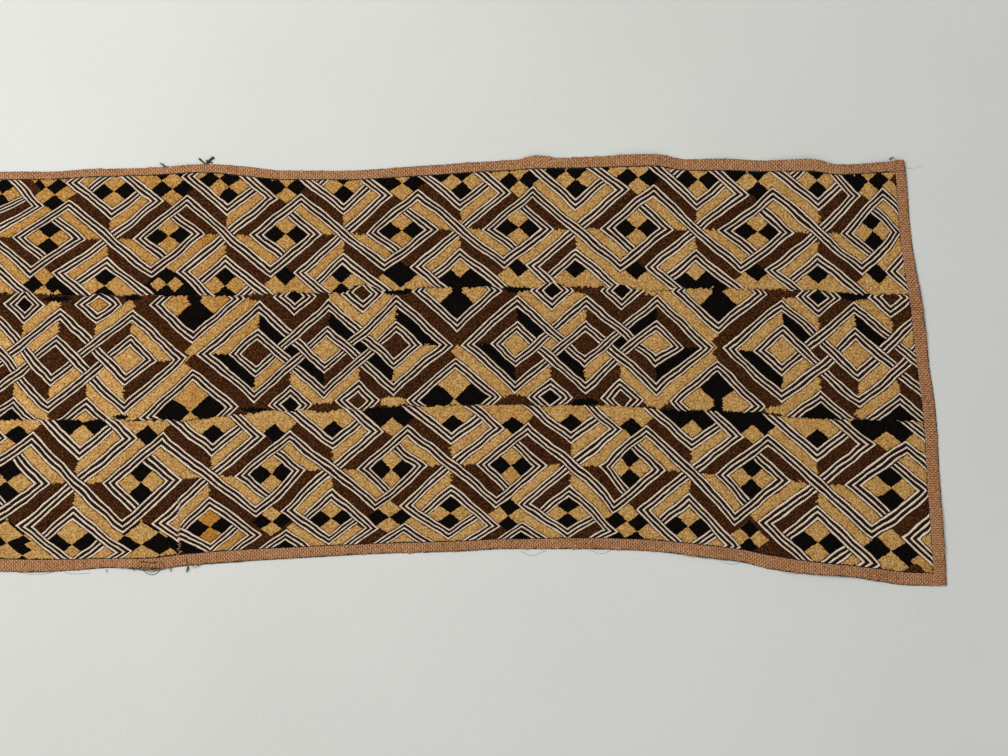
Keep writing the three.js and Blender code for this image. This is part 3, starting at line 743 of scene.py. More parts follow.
            at((-6.6, -20.7), (-6.6, -42.2), (-42.2, -42.2), (-42.2, -6.6), (-10.3, -6.6))
            at((-14.1, -17.8), (17.8, -17.8), (17.8, 3.7))
            at((-17.0, -9.5), (-17.0, -31.8), (-31.8, -31.8), (-31.8, -17.0), (-19.9, -17.0))
            at((7.4, 14.9), (7.4, -7.4), (-4.5, -7.4))
    chart.paint_bands()
    return chart


# Ragged patches of pile over the ends of bars, where a seam runs: middle, half size, colour.
UPPER_LENSES = [(58, 299, 14, 3.0, k_), (133, 298, 9, 3.6, k_), (398, 291, 14, 4.0, k_), (516, 289.5, 15, 3.2, k_),
                (590, 290, 16, 4.0, n_), (780, 294, 17, 4.2, n_), (853, 296, 16, 5.0, k_), (264, 297, 14, 5.5, n_),
                (-60, 298, 14, 3.4, k_), (-140, 298, 12, 3.4, n_), (655, 291, 12, 4.5, g_), (457, 287, 6, 7, k_), (717, 289, 6, 8, k_),
                (195, 297, 7, 8, k_)]
LOWER_LENSES = [(254, 410, 12, 2.6, k_), (122, 417, 8, 2.4, k_), (324, 408.4, 16, 5.4, n_), (394, 401.5, 14, 4.6, g_),
                (516, 399.5, 15, 4.8, n_), (585, 402, 13, 4.2, k_), (656, 402, 13, 4.5, g_), (777, 410, 11, 4.0, g_),
                (864, 414, 10, 4.5, g_), (718, 404, 5, 8, k_), (-70, 418, 12, 3.0, k_), (-150, 417, 12, 3.0, n_)]

# ------------------------------------------------------------------ meshes
pieces = []


def mesh_piece(name, vertices, triangles, material, uv=None, numbers=None, smooth=True):
    """One object from arrays. uv holds a pair for each triangle's corner."""
    me = bpy.data.meshes.new(name)
    v = np.ascontiguousarray(vertices, np.float32)
    t = np.ascontiguousarray(triangles, np.int32)
    me.vertices.add(len(v))
    me.vertices.foreach_set("co", v.ravel())
    me.loops.add(t.size)
    me.loops.foreach_set("vertex_index", t.ravel())
    me.polygons.add(len(t))
    me.polygons.foreach_set("loop_start", np.arange(0, t.size, 3, dtype=np.int32))
    me.polygons.foreach_set("loop_total", np.full(len(t), 3, np.int32))
    me.polygons.foreach_set("use_smooth", np.full(len(t), smooth, bool))
    if uv is not None:
        layer = me.uv_layers.new(name="OFBake")
        layer.data.foreach_set("uv", np.ascontiguousarray(uv, np.float32).ravel())
    for key, values in (numbers or {}).items():
        a = me.attributes.new(key, "FLOAT", "POINT")
        a.data.foreach_set("value", np.ascontiguousarray(values, np.float32))
    me.update(calc_edges=True)
    me.validate()
    me.materials.append(material)
    ob = bpy.data.objects.new(name, me)
    scene.collection.objects.link(ob)
    pieces.append(ob)
    return ob


def panel_uv(x, y, triangles, middle, tallest, rows=3, first=0, of=3, start=-2.0, end=1472.0):
    """A long panel laid out in rows, seen from above. x and y are table millimetres."""
    length = (end - start) / rows
    scale = min(0.985 / length, (1.0 / of - 0.012) / tallest)
    cx = x[triangles].mean(1)
    row = np.clip(((cx - start) / length).astype(int), 0, rows - 1)
    u = (x[triangles] - (start + row[:, None] * length)) * scale + 0.0075
    v = (row[:, None] + first + 0.5) / of + (y[triangles] - middle(x)[triangles]) * scale
    return np.stack([np.clip(u, 0.001, 0.999), np.clip(v, 0.001, 0.999)], -1).reshape(-1, 2)


GROUND = 1.0  # thickness of the woven ground under the stitches


class Panel:
    def __init__(self, name, chart, warp, to_chart, low, high, lenses, units, seed, tallest):
        self.name, self.chart, self.warp = name, chart, warp
        self.to_chart = to_chart
        self.low, self.high = low, high
        self.lenses = lenses
        self.units = units
        self.seed = seed
        self.tallest = tallest
        self.wob_a = field(seed + 1, 14, 9.0, 26.0)
        self.wob_b = field(seed + 2, 14, 9.0, 26.0)
        self.wob_c = field(seed + 3, 14, 3.2, 7.0)
        self.wob_d = field(seed + 4, 14, 3.2, 7.0)

    def middle(self, x):
        return (self.low(x) + self.high(x)) / 2

    def to_cloth(self, p, q):
        """Chart coordinates to table millimetres, with the hand's unevenness."""
        a = p + 0.17 * self.wob_a(p, q) + 0.055 * self.wob_c(p, q)
        b = q + 0.17 * self.wob_b(p, q) + 0.055 * self.wob_d(p, q)
        px, py = self.warp(*self.to_chart(a, b))
        if self.name == "lower":  # left of the mended slit the stitches lie lower
            left = np.clip((179.4 - px) / 0.6, 0, 1) * np.exp(-np.maximum(179.4 - px, 0) / 13.0)
            py = py + 5.0 * left * np.clip((py - 496.0) / 22.0, 0, 1)
        return (px + LEFT_END) * SCALE, (MIDDLE_ROW - py) * SCALE

    def inside(self, x, y, slack=0.0):
        return ((y > self.low(x) - slack) & (y < self.high(x) + slack)
                & (x > left_inner(y) + 0.3 - slack) & (x < right_inner(y) - 0.3 + slack))

    def clamp(self, x, y):
        x = np.clip(x, left_inner(y) + 0.3, right_inner(y) - 0.3)
        y = np.clip(y, self.low(x), self.high(x))
        return x, y

    # ---- pile
    def pile(self, materials):
        ch = self.chart
        cp, cq = np.meshgrid(ch.cp, ch.cq, indexing="ij")
        a, b = self.to_chart(cp, cq)
        limit = 2.3 if self.units == "ring" else 34.0
        near = np.abs(b) < limit
        ix, iy = np.nonzero(near)
        x = np.full(cp.shape, 1e6)
        y = np.full(cp.shape, 1e6)
        x[ix, iy], y[ix, iy] = self.to_cloth(cp[ix, iy], cq[ix, iy])
        on = near & self.inside(x, y)
        label = np.where(on, ch.label, NONE)
        r = np.random.default_rng(self.seed + 10)
        rough = r.uniform(-1, 1, label.shape)
        px, py = x / SCALE - LEFT_END, MIDDLE_ROW - y / SCALE
        for lx, ly, rx, ry, colour in self.lenses:
            inside = ((px - lx) / rx) ** 2 + ((py - ly) / ry) ** 2 + 0.35 * rough < 1.0
            label = np.where(inside & (label > NONE) & (label < BAND), colour, label)
        self.final = label
        # corners
        n0, n1 = len(ch.p), len(ch.q)
        kp, kq = np.meshgrid(ch.p, ch.q, indexing="ij")
        is_pile = (label > NONE) & (label < BAND)
        pad = np.zeros((n0 + 1, n1 + 1), np.int8)
        pad[1:-1, 1:-1] = is_pile
        around = pad[:-1, :-1] + pad[1:, :-1] + pad[:-1, 1:] + pad[1:, 1:]
        used = around > 0
        dp = np.gradient(ch.p)
        jit_p = r.uniform(-1, 1, (n0, n1)) * 0.27 * np.minimum(dp[:, None], 1.0)
        jit_q = r.uniform(-1, 1, (n0, n1)) * 0.27 * np.minimum(dp[None, :], 1.0)
        ci, cj = np.nonzero(used)
        kx = np.zeros((n0, n1))
        ky = np.zeros((n0, n1))
        kx[ci, cj], ky[ci, cj] = self.to_cloth((kp + jit_p)[ci, cj], (kq + jit_q)[ci, cj])
        kx[ci, cj], ky[ci, cj] = self.clamp(kx[ci, cj], ky[ci, cj])
        top = GROUND + np.where(around >= 4, 1.30, 0.92) + r.uniform(-1, 1, (n0, n1)) * 0.16
        kz = np.zeros((n0, n1))
        kz[ci, cj] = top[ci, cj] + lift(kx[ci, cj], ky[ci, cj])
        floor_z = np.zeros((n0, n1))
        floor_z[ci, cj] = GROUND - 0.08 + lift(kx[ci, cj], ky[ci, cj])
        out = {}
        for colour, key in ((GOLD, "gold"), (BROWN, "brown"), (BLACK, "black")):
            i, j = np.nonzero(label == colour)
            if not len(i):
                continue
            # corner vertices of this colour
            number = np.full((n0, n1), -1, np.int64)
            mark = np.zeros((n0, n1), bool)
            for di, dj in ((0, 0), (1, 0), (1, 1), (0, 1)):
                mark[i + di, j + dj] = True
            mi, mj = np.nonzero(mark)
            number[mi, mj] = np.arange(len(mi))
            vx, vy, vz = [kx[mi, mj]], [ky[mi, mj]], [kz[mi, mj]]
            count = len(mi)
            # a raised point in each cell
            w = r.uniform(0.32, 0.68, (len(i), 2))
            bx = ((1 - w[:, 0]) * (1 - w[:, 1]) * kx[i, j] + w[:, 0] * (1 - w[:, 1]) * kx[i + 1, j]
                  + w[:, 0] * w[:, 1] * kx[i + 1, j + 1] + (1 - w[:, 0]) * w[:, 1] * kx[i, j + 1])
            by = ((1 - w[:, 0]) * (1 - w[:, 1]) * ky[i, j] + w[:, 0] * (1 - w[:, 1]) * ky[i + 1, j]
                  + w[:, 0] * w[:, 1] * ky[i + 1, j + 1] + (1 - w[:, 0]) * w[:, 1] * ky[i, j + 1])
            bz = GROUND + 1.62 + r.uniform(-1, 1, len(i)) * 0.2 + lift(bx, by)
            mid = count + np.arange(len(i))
            vx.append(bx), vy.append(by), vz.append(bz)
            count += len(i)
            c00, c10 = number[i, j], number[i + 1, j]
            c11, c01 = number[i + 1, j + 1], number[i, j + 1]
            # p runs down-right and q up-right as lines, so (p, q) is a left-handed pair
            faces = [np.stack(f, 1) for f in ((c00, mid, c10), (c10, mid, c11), (c11, mid, c01), (c01, mid, c00))]
            # side walls where the pile ends
            lab = np.zeros((n0 + 1, n1 + 1), bool)
            lab[1:-1, 1:-1] = is_pile
            low_number = {}
            walls = []
            need = np.zeros((n0, n1), bool)
            sides = []
            for (di, dj), (a0, b0), (a1, b1) in (
                ((-1, 0), (0, 1), (0, 0)), ((1, 0), (1, 0), (1, 1)),
                ((0, -1), (0, 0), (1, 0)), ((0, 1), (1, 1), (0, 1)),
            ):
                open_ = ~lab[i + 1 + di, j + 1 + dj]
                ii, jj = i[open_], j[open_]
                sides.append((ii + a0, jj + b0, ii + a1, jj + b1))
                need[ii + a0, jj + b0] = True
                need[ii + a1, jj + b1] = True
            fi, fj = np.nonzero(need)
            foot = np.full((n0, n1), -1, np.int64)
            foot[fi, fj] = count + np.arange(len(fi))
            vx.append(kx[fi, fj]), vy.append(ky[fi, fj]), vz.append(floor_z[fi, fj])
            for i0, j0, i1, j1 in sides:
                t0, t1, f0, f1 = number[i0, j0], number[i1, j1], foot[i0, j0], foot[i1, j1]
                faces.append(np.stack([t0, t1, f1], 1))
                faces.append(np.stack([t0, f1, f0], 1))
            x_, y_, z_ = np.concatenate(vx), np.concatenate(vy), np.concatenate(vz)
            tri = np.concatenate(faces)
            # turn every top face up
            v = place(x_, y_, z_)
            n = np.cross(v[tri[:, 1]] - v[tri[:, 0]], v[tri[:, 2]] - v[tri[:, 0]])
            tops = np.arange(len(tri)) < 4 * len(i)
            flip = tops & (n[:, 2] < 0)
            if flip.sum() > tops.sum() / 2:
                flip_walls = ~tops
            else:
                flip_walls = np.zeros(len(tri), bool)
            turn = flip | flip_walls
            tri[turn] = tri[turn][:, ::-1]
            keep = np.linalg.norm(n, axis=1) > 1e-12
            tri = tri[keep]
            uv = panel_uv(x_, y_, tri, self.middle, self.tallest)
            ob = mesh_piece(f"pile_{key}_{self.name}", v, tri, materials[key], uv)
            out[key] = ob
        return out

    # ---- stitched lines
    def lines(self, kind, offsets, half, height, material, step, seed, shape):
        r = np.random.default_rng(seed)
        xs, ys, zs, us, vs, tris = [], [], [], [], [], []
        count = 0
        rails = np.array([s for s, _ in shape])
        rise = np.array([h for _, h in shape])
        grain = field(seed + 5, 10, 2.5, 6.0)
        k = len(rails)
        for line in self.chart.bands:
            pts = np.array(line)
            seg = np.diff(pts, axis=0)
            length = np.abs(seg).sum(1)
            d = seg / length[:, None]
            normal = np.stack([-d[:, 1], d[:, 0]], 1)
            closed = np.allclose(pts[0], pts[-1])
            # the offset at each corner is the sum of both sides' normals
            corner = np.zeros_like(pts)
            corner[0], corner[-1] = normal[0], normal[-1]
            corner[1:-1] = normal[:-1] + normal[1:]
            if closed:
                corner[0] = corner[-1] = normal[0] + normal[-1]
            ts = []
            for i, l in enumerate(length):
                m = max(2, int(round(l / step)))
                t = i + np.arange(m) / m
                ts.append(t)
            ts = np.concatenate(ts + [np.array([len(length)])])
            si = np.minimum(ts.astype(int), len(length) - 1)
            f = (ts - si)[:, None]
            base = pts[si] * (1 - f) + pts[si + 1] * f
            out = corner[si] * (1 - f) + corner[si + 1] * f
            run = np.concatenate([[0], np.cumsum(np.abs(np.diff(base, axis=0)).sum(1))])
            for o in offsets:
                fat = 1 + 0.10 * grain(run + 13.7 * o, np.full(len(run), float(count % 997)))
                drift = 0.06 * grain(run * 0.4 + 31.0 * o, np.full(len(run), float(count % 613)))
                w = (o + drift[:, None] + rails[None, :] * half * fat[:, None])  # steps x rails
                p = base[:, 0:1] + out[:, 0:1] * w
                q = base[:, 1:2] + out[:, 1:2] * w
                xs.append(p), ys.append(q)
                uneven = 1 + 0.10 * r.uniform(-1, 1, len(run))
                zs.append(height * rise[None, :] * uneven[:, None])
                us.append(np.broadcast_to(run[:, None], p.shape))
                vs.append(np.broadcast_to(rails[None, :], p.shape))
                m = len(run)
                a = count + (np.arange(m - 1)[:, None] * k + np.arange(k - 1)[None, :])
                tris.append(np.stack([a, a + k, a + k + 1, a + 1], -1).reshape(-1, 4))
                if not closed:
                    for e in (0, m - 1):
                        s0 = count + e * k
                        tris.append(np.array([[s0, s0 + 1, s0 + k - 2, s0 + k - 1]]) if k > 3 else
                                    np.array([[s0, s0 + 1, s0 + 2, s0 + 2]]))
                count += m * k
        p = np.concatenate([a.ravel() for a in xs])
        q = np.concatenate([a.ravel() for a in ys])
        h = np.concatenate([a.ravel() for a in zs])
        u = np.concatenate([a.ravel() for a in us])
        v_ = np.concatenate([a.ravel() for a in vs])
        quads = np.concatenate(tris)
        _, b = self.to_chart(p, q)
        limit = 2.3 if self.units == "ring" else 34.0
        near = np.abs(b) < limit
        x = np.full(p.shape, 1e6)
        y = np.full(p.shape, 1e6)
        x[near], y[near] = self.to_cloth(p[near], q[near])
        ok = self.inside(x, y, 0.4)
        inside_strict = self.inside(x, y)
        keep = ok[quads].all(1) & (inside_strict[quads].sum(1) >= 2)
        # a quad that crosses the edge is kept and drawn in to it
        partly = near[quads].all(1) & (inside_strict[quads].sum(1) >= 2)
        keep = keep | partly
        quads = quads[keep]
        used, quads = np.unique(quads, return_inverse=True)
        quads = quads.reshape(-1, 4)
        x, y, h, u, v_ = x[used], y[used], h[used], u[used], v_[used]
        x, y = self.clamp(x, y)
        z = GROUND - 0.06 + h + lift(x, y)
        v = place(x, y, z)
        tri = np.concatenate([quads[:, [0, 1, 2]], quads[:, [0, 2, 3]]])
        n = np.cross(v[tri[:, 1]] - v[tri[:, 0]], v[tri[:, 2]] - v[tri[:, 0]])
        keep = np.linalg.norm(n, axis=1) > 1e-12
        tri, n = tri[keep], n[keep]
        turn = n[:, 2] < 0
        tri[turn] = tri[turn][:, ::-1]
        uv = panel_uv(x, y, tri, self.middle, self.tallest)
        return mesh_piece(f"{kind}_{self.name}", v, tri, material, uv, {"run": u * 2.15, "side": v_})

    # ---- woven ground
    def ground(self, material):
        nx, ny = 300, 30
        s = np.linspace(0, 1, nx + 1)[:, None]
        t = np.linspace(0, 1, ny + 1)[None, :]
        x = np.full((nx + 1, ny + 1), 700.0)
        y = np.zeros((nx + 1, ny + 1))
        for _ in range(6):
            lo_x, hi_x = left_inner(y) + GAP / 2, right_inner(y) - GAP / 2
            x = lo_x + (hi_x - lo_x) * s
            lo_y, hi_y = self.low_line(x) + GAP / 2, self.high_line(x) - GAP / 2
            y = lo_y + (hi_y - lo_y) * t
        base = lift(x, y)
        up = place(x, y, base + GROUND)
        down = place(x, y, base)
        v = np.concatenate([up.reshape(-1, 3), down.reshape(-1, 3)])
        n = (nx + 1) * (ny + 1)
        idx = np.arange(n).reshape(nx + 1, ny + 1)
        a, b, c, d = idx[:-1, :-1], idx[1:, :-1], idx[1:, 1:], idx[:-1, 1:]
        upper = np.concatenate([np.stack([a, b, c], -1).reshape(-1, 3), np.stack([a, c, d], -1).reshape(-1, 3)])
        lower = upper[:, ::-1] + n
        rim = np.concatenate([idx[:, 0], idx[-1, 1:], idx[::-1, -1][1:], idx[0, ::-1][1:]])
        e0, e1 = rim[:-1], rim[1:]
        sides = np.concatenate([np.stack([e0 + n, e1 + n, e1], 1), np.stack([e0 + n, e1, e0], 1)])
        tri = np.concatenate([upper, lower, sides])
        xx = np.concatenate([x.ravel(), x.ravel()])
        yy = np.concatenate([y.ravel(), y.ravel()])
        parts = [panel_uv(xx, yy, upper, self.middle, self.tallest, 2, 0, 4),
                 panel_uv(xx, yy, lower, self.middle, self.tallest, 2, 2, 4),
                 panel_uv(xx, yy, sides, self.middle, self.tallest, 2, 2, 4)]
        face = np.concatenate([np.ones(n), np.zeros(n)])
        ob = mesh_piece(f"ground_{self.name}", v, tri, material, np.concatenate(parts), {"face": face})
        self.flat_area = float((np.diff(x[:, 0])[:, None] * np.ones(1)).sum()) / 1000
        w = float((y[:, -1] - y[:, 0]).mean()) / 1000
        l = float((x[-1] - x[0]).mean()) / 1000
        self.flat = (float((y[:, -1] - y[:, 0]).max()) / 1000, l)
        self.area = w * l
        return ob


# ------------------------------------------------------------------ materials
def srgb(r, g, b):
    def one(c):
        c = c / 255
        return c / 12.92 if c <= 0.04045 else ((c + 0.055) / 1.055) ** 2.4

    return (one(r), one(g), one(b), 1.0)


class Nodes:
    def __init__(self, name, roughness, sheen=0.0, sheen_tint=None):
        self.m = bpy.data.materials.new(name)
        self.m.use_nodes = True
        self.t = self.m.node_tree
        self.b = self.t.nodes["Principled BSDF"]
        self.b.inputs["Roughness"].default_value = roughness
        self.b.inputs["Specular IOR Level"].default_value = 0.25
        if sheen:
            self.b.inputs["Sheen Weight"].default_value = sheen
            self.b.inputs["Sheen Roughness"].default_value = 0.5
            if sheen_tint:
                self.b.inputs["Sheen Tint"].default_value = sheen_tint
        self.coord = self.t.nodes.new("ShaderNodeTexCoord").outputs["Object"]

    def node(self, kind, **inputs):
        n = self.t.nodes.new(kind)
        for key, value in inputs.items():
            key = int(key[1:]) if key[0] == "_" and key[1:].isdigit() else key
            if isinstance(value, bpy.types.NodeSocket):
                self.t.links.new(value, n.inputs[key])
            else:
                n.inputs[key].default_value = value
        return n

    def stretch(self, sx, sy, sz, turn=0.0):
        n = self.node("ShaderNodeMapping", Vector=self.coord)
        n.inputs["Scale"].default_value = (sx, sy, sz)
        n.inputs["Rotation"].default_value = (0, 0, turn)
        return n.outputs[0]

    def noise(self, scale, detail=2.0, rough=0.5, vector=None):
        n = self.node("ShaderNodeTexNoise", Vector=vector or self.coord, Scale=scale, Detail=detail, Roughness=rough)
        return n.outputs["Fac"]

    def ramp(self, fac, *stops):
        n = self.node("ShaderNodeValToRGB", Fac=fac)
        e = n.color_ramp.elements
        while len(e) < len(stops):
            e.new(0.5)
        for el, (pos, col) in zip(e, stops):
            el.position = pos
            el.color = col if len(col) == 4 else (*col, 1.0)
        return n.outputs["Color"]

    def mix(self, fac, a, b, how="MIX"):
        n = self.t.nodes.new("ShaderNodeMix")
        n.data_type = "RGBA"
        n.blend_type = how
        for key, value in ((0, fac), (6, a), (7, b)):
            if isinstance(value, bpy.types.NodeSocket):
                self.t.links.new(value, n.inputs[key])
            else:
                n.inputs[key].default_value = value
        return n.outputs[2]

    def math(self, how, a, b=0.0, c=0.0):
        n = self.t.nodes.new("ShaderNodeMath")
        n.operation = how
        for i, value in enumerate((a, b, c)):
            if isinstance(value, bpy.types.NodeSocket):
                self.t.links.new(value, n.inputs[i])
            else:
                n.inputs[i].default_value = value
        return n.outputs[0]

    def spot(self, x, y, radius, flat=1.0):
        """1 at a place in the picture, fading to 0 at a radius from it along the cloth, and at a
        flat share of that across it."""
        n = self.t.nodes.new("ShaderNodeVectorMath")
        n.operation = "DISTANCE"
        self.t.links.new(self.stretch(1, 1 / flat, 1) if flat != 1.0 else self.coord, n.inputs[0])
        n.inputs[1].default_value = (
            ((x + LEFT_END) * SCALE - MIDDLE_X) / 1000, ((MIDDLE_ROW - y) * SCALE - MIDDLE_Y) / 1000 / flat, 0.003)
        out = self.math("MULTIPLY_ADD", n.outputs["Value"], -1000.0 / (radius * SCALE), 1.0)
        out.node.use_clamp = True
        return out

    def attribute(self, name):
        n = self.t.nodes.new("ShaderNodeAttribute")
        n.attribute_name = name
        return n.outputs["Fac"]

    def colour(self, socket):
        self.t.links.new(socket, self.b.inputs["Base Color"])

    def rough(self, socket):
        self.t.links.new(socket, self.b.inputs["Roughness"])

    def bump(self, height, distance, strength=1.0):
        n = self.node("ShaderNodeBump", Height=height, Distance=distance, Strength=strength)
        self.t.links.new(n.outputs[0], self.b.inputs["Normal"])


def pile_material(name, dark, mid, light, faded, speck, sheen, size=470, spots_=()):
    n = Nodes(name, 0.95, sheen)
    n.b.inputs["Specular IOR Level"].default_value = 0.08
    tuft = n.noise(size, 3.0, 0.66)  # single tufts
    fibre = n.noise(1700, 1.0, 0.6)
    patch = n.noise(30, 3.0, 0.6)
    base = n.ramp(tuft, (0.34, dark), (0.50, mid), (0.66, light))
    n_faded = n.math("MULTIPLY", n.math("SUBTRACT", patch, 0.42), 2.4)
    n_faded.node.use_clamp = True
    base = n.mix(n_faded, base, faded, "MULTIPLY")
    shade = n.ramp(fibre, (0.32, (0.66, 0.64, 0.62)), (0.60, (1.0, 1.0, 1.0)))
    base = n.mix(1.0, base, shade, "MULTIPLY")
    spots = n.noise(620, 1.0, 0.5, n.stretch(1, 1, 1, 0.7))
    base = n.mix(n.ramp(spots, (0.64, (0, 0, 0)), (0.74, speck[1])), base, speck[0])
    if spots_:  # here and there the dye is deeper
        deep = None
        for x, y, radius, share in spots_:
            one = n.math("MULTIPLY", n.spot(x, y, radius), share)
            deep = one if deep is None else n.math("MAXIMUM", deep, one)
        deep = n.math("MAXIMUM", deep, n.math("MULTIPLY", n.spot(20, 225, 560, 0.20), 0.62))
        base = n.mix(deep, base, (0.84, 0.66, 0.34, 1.0), "MULTIPLY")
        base = n.mix(n.spot(30, 380, 190, 0.5), base, (1.22, 1.20, 1.16, 1.0), "MULTIPLY")
    n.colour(base)
    n.bump(n.math("ADD", n.math("MULTIPLY", tuft, 0.8), n.math("MULTIPLY", fibre, 0.4)), 0.0012, 0.9)
    return n.m


pile_materials = {
    "gold": pile_material("pile_gold", srgb(146, 97, 42), srgb(208, 160, 91), srgb(246, 208, 142),
                          (0.87, 0.79, 0.66, 1.0), (srgb(120, 74, 30), (0.5, 0.5, 0.5)), 0.05, 540,
                          [(209, 519, 22, 1.6), (209, 539, 20, 1.6), (243, 541, 22, 1.0), (208, 243, 20, 1.3), (222, 262, 18, 0.8),
                           (182, 300, 30, 0.8), (228, 300, 34, 0.8), (255, 335, 60, 0.5), (97, 302, 22, 0.9), (393, 240, 26, 0.7),
                           (403, 262, 26, 0.6), (512, 405, 40, 0.3), (420, 185, 30, 0.35), (510, 470, 26, 0.45), (190, 395, 34, 0.6)]),
    "brown": pile_material("pile_brown", srgb(24, 9, 2), srgb(62, 31, 9), srgb(108, 64, 30),
                           (0.68, 0.57, 0.50, 1.0), (srgb(158, 118, 72), (0.42, 0.42, 0.42)), 0.0),
    # painted highlight: the pale specks on the black pile stand for glints on the fibres
    "black": pile_material("pile_black", srgb(2, 1, 1), srgb(8, 5, 4), srgb(20, 14, 11),
                           (0.7, 0.7, 0.7, 1.0), (srgb(64, 52, 46), (0.25, 0.25, 0.25)), 0.0),
}


def line_material(name, dark, mid, light, size):
    """Close stem stitch: a fine slanting twist along each line."""
    n = Nodes(name, 0.80, 0.0)
    n.b.inputs["Specular IOR Level"].default_value = 0.12
    run, side = n.attribute("run"), n.attribute("side")
    slant = n.math("ADD", n.math("MULTIPLY", run, 2.6), n.math("MULTIPLY", side, 1.5))
    uneven = n.noise(420, 2.0, 0.6)
    slant = n.math("ADD", slant, n.math("MULTIPLY", uneven, 3.5))
    twist = n.math("MULTIPLY_ADD", n.math("SINE", slant), 0.5, 0.5)
    fibre = n.noise(2400, 1.0, 0.5)
    patch = n.noise(60, 2.0, 0.6)
    tone = n.math("ADD", n.math("MULTIPLY", twist, size), n.math("MULTIPLY", uneven, 0.55))
    base = n.ramp(tone, (0.18, dark), (0.46, mid), (0.80, light))
    base = n.mix(n.math("MULTIPLY", n.math("SUBTRACT", patch, 0.42), 1.2), base, mid)
    n.colour(base)
    n.bump(n.math("ADD", n.math("MULTIPLY", twist, 0.6), n.math("MULTIPLY", fibre, 0.3)), 0.0006, 0.8)
    return n.m


cream_material = line_material("line_cream", srgb(190, 152, 118), srgb(244, 222, 196), srgb(255, 246, 232), 0.30)
dark_material = line_material("line_dark", srgb(6, 3, 2), srgb(22, 11, 6), srgb(50, 30, 20), 0.40)


def ground_material():
    """Plain-woven raffia: undyed below. Its top, seen only in the gaps between the stitches and beside the binding, is
    painted near black as shade.
    """
    n = Nodes("ground", 0.85, 0.1)
    face = n.attribute("face")
    warp = n.node("ShaderNodeTexWave", Vector=n.coord, Scale=190.0, Distortion=1.2, Detail=1.0)
    warp.wave_type, warp.bands_direction = "BANDS", "X"
    weft = n.node("ShaderNodeTexWave", Vector=n.coord, Scale=170.0, Distortion=1.2, Detail=1.0)
    weft.wave_type, weft.bands_direction = "BANDS", "Y"
    weave = n.math("MAXIMUM", warp.outputs["Fac"], weft.outputs["Fac"])
    patch = n.noise(30, 4.0, 0.6)
    streak = n.noise(90, 2.0, 0.6, n.stretch(1, 9, 1))
    back = n.ramp(weave, (0.2, srgb(112, 82, 48)), (0.7, srgb(172, 138, 92)), (1.0, srgb(196, 164, 116)))
    back = n.mix(n.math("MULTIPLY", patch, 0.7), back, srgb(140, 104, 62))
    back = n.mix(n.math("MULTIPLY", streak, 0.4), back, srgb(186, 150, 104))
    # painted shade: the top of the ground is near black, so the gaps between the stitches and beside the binding read
    # as shadow
    painted_shade_top = n.ramp(n.noise(500, 2.0), (0.3, srgb(6, 3, 2)), (0.7, srgb(26, 14, 8)))
    n.colour(n.mix(face, back, painted_shade_top))
    n.bump(weave, 0.0006, 0.9)
    return n.m


ground_material_ = ground_material()


def binding_material():
    """Plain-woven red-brown strip: ribs across it, light flecks on the ribs."""
    n = Nodes("binding", 0.9, 0.05)
    n.b.inputs["Specular IOR Level"].default_value = 0.12
    run, side = n.attribute("run"), n.attribute("side")
    uneven = n.noise(210, 2.0, 0.6)
    run = n.math("ADD", run, n.math("MULTIPLY", uneven, 1.9))
    side = n.math("ADD", side, n.math("MULTIPLY", n.noise(240, 2.0, 0.6, n.stretch(1, 1, 1, 0.6)), 1.8))
    rib = n.math("MULTIPLY_ADD", n.math("SINE", n.math("MULTIPLY", run, 2 * math.pi / 2.7)), 0.5, 0.5)
    pick = n.math("MULTIPLY_ADD", n.math("SINE", n.math("ADD", n.math("MULTIPLY", side, 2 * math.pi / 1.5),
                  n.math("MULTIPLY", n.math("FLOOR", n.math("MULTIPLY", run, 1 / 1.9)), math.pi))), 0.5, 0.5)
    over = n.math("MULTIPLY", n.math("SINE", n.math("MULTIPLY", run, 2 * math.pi / 4.3)),
                  n.math("SINE", n.math("MULTIPLY", side, 2 * math.pi / 4.5)))  # over and under
    weave = n.math("ADD", n.math("MULTIPLY", rib, 0.34), n.math("MULTIPLY", pick, 0.14))
    weave = n.math("ADD", weave, n.math("MULTIPLY_ADD", over, 0.25, 0.26))
    fibre = n.noise(1300, 2.0, 0.65)
    patch = n.noise(18, 4.0, 0.7)
    fleck = n.noise(430, 2.0, 0.7)
    tone = n.math("ADD", n.math("MULTIPLY", weave, 0.62), n.math("MULTIPLY", fibre, 0.38))
    base = n.ramp(tone, (0.24, srgb(80, 44, 24)), (0.49, srgb(164, 111, 72)), (0.74, srgb(226, 176, 128)))
    stain = n.math("MULTIPLY", n.math("SUBTRACT", patch, 0.40), 2.2)
    stain.node.use_clamp = True
    base = n.mix(stain, base, (0.74, 0.64, 0.58, 1.0), "MULTIPLY")
    base = n.mix(n.ramp(fleck, (0.58, (0, 0, 0)), (0.70, (0.7, 0.7, 0.7))), base, srgb(230, 192, 148))
    dim = n.noise(350, 2.0, 0.6, n.stretch(1, 1, 1, 1.1))
    base = n.mix(n.ramp(dim, (0.57, (0, 0, 0)), (0.70, (0.75, 0.75, 0.75))), base, srgb(92, 54, 34))
    n.colour(base)
    n.bump(n.math("ADD", weave, n.math("MULTIPLY", fibre, 0.4)), 0.0006, 1.0)
    return n.m


binding_material_ = binding_material()


def thread_material(name, low, high):
    n = Nodes(name, 0.8, 0.1)
    n.colour(n.ramp(n.noise(900, 2.0, 0.6), (0.3, low), (0.7, high)))
    n.bump(n.noise(2600, 1.0), 0.0003, 0.6)
    return n.m


dark_thread = thread_material("thread_dark", srgb(30, 22, 16), srgb(74, 60, 40))
black_thread = thread_material("thread_black", srgb(12, 9, 9), srgb(40, 30, 26))
light_thread = thread_material("thread_light", srgb(176, 150, 112), srgb(226, 206, 172))
pink_thread = thread_material("thread_pink", srgb(190, 140, 112), srgb(232, 196, 170))
grey_thread = thread_material("thread_grey", srgb(120, 116, 108), srgb(168, 162, 150))

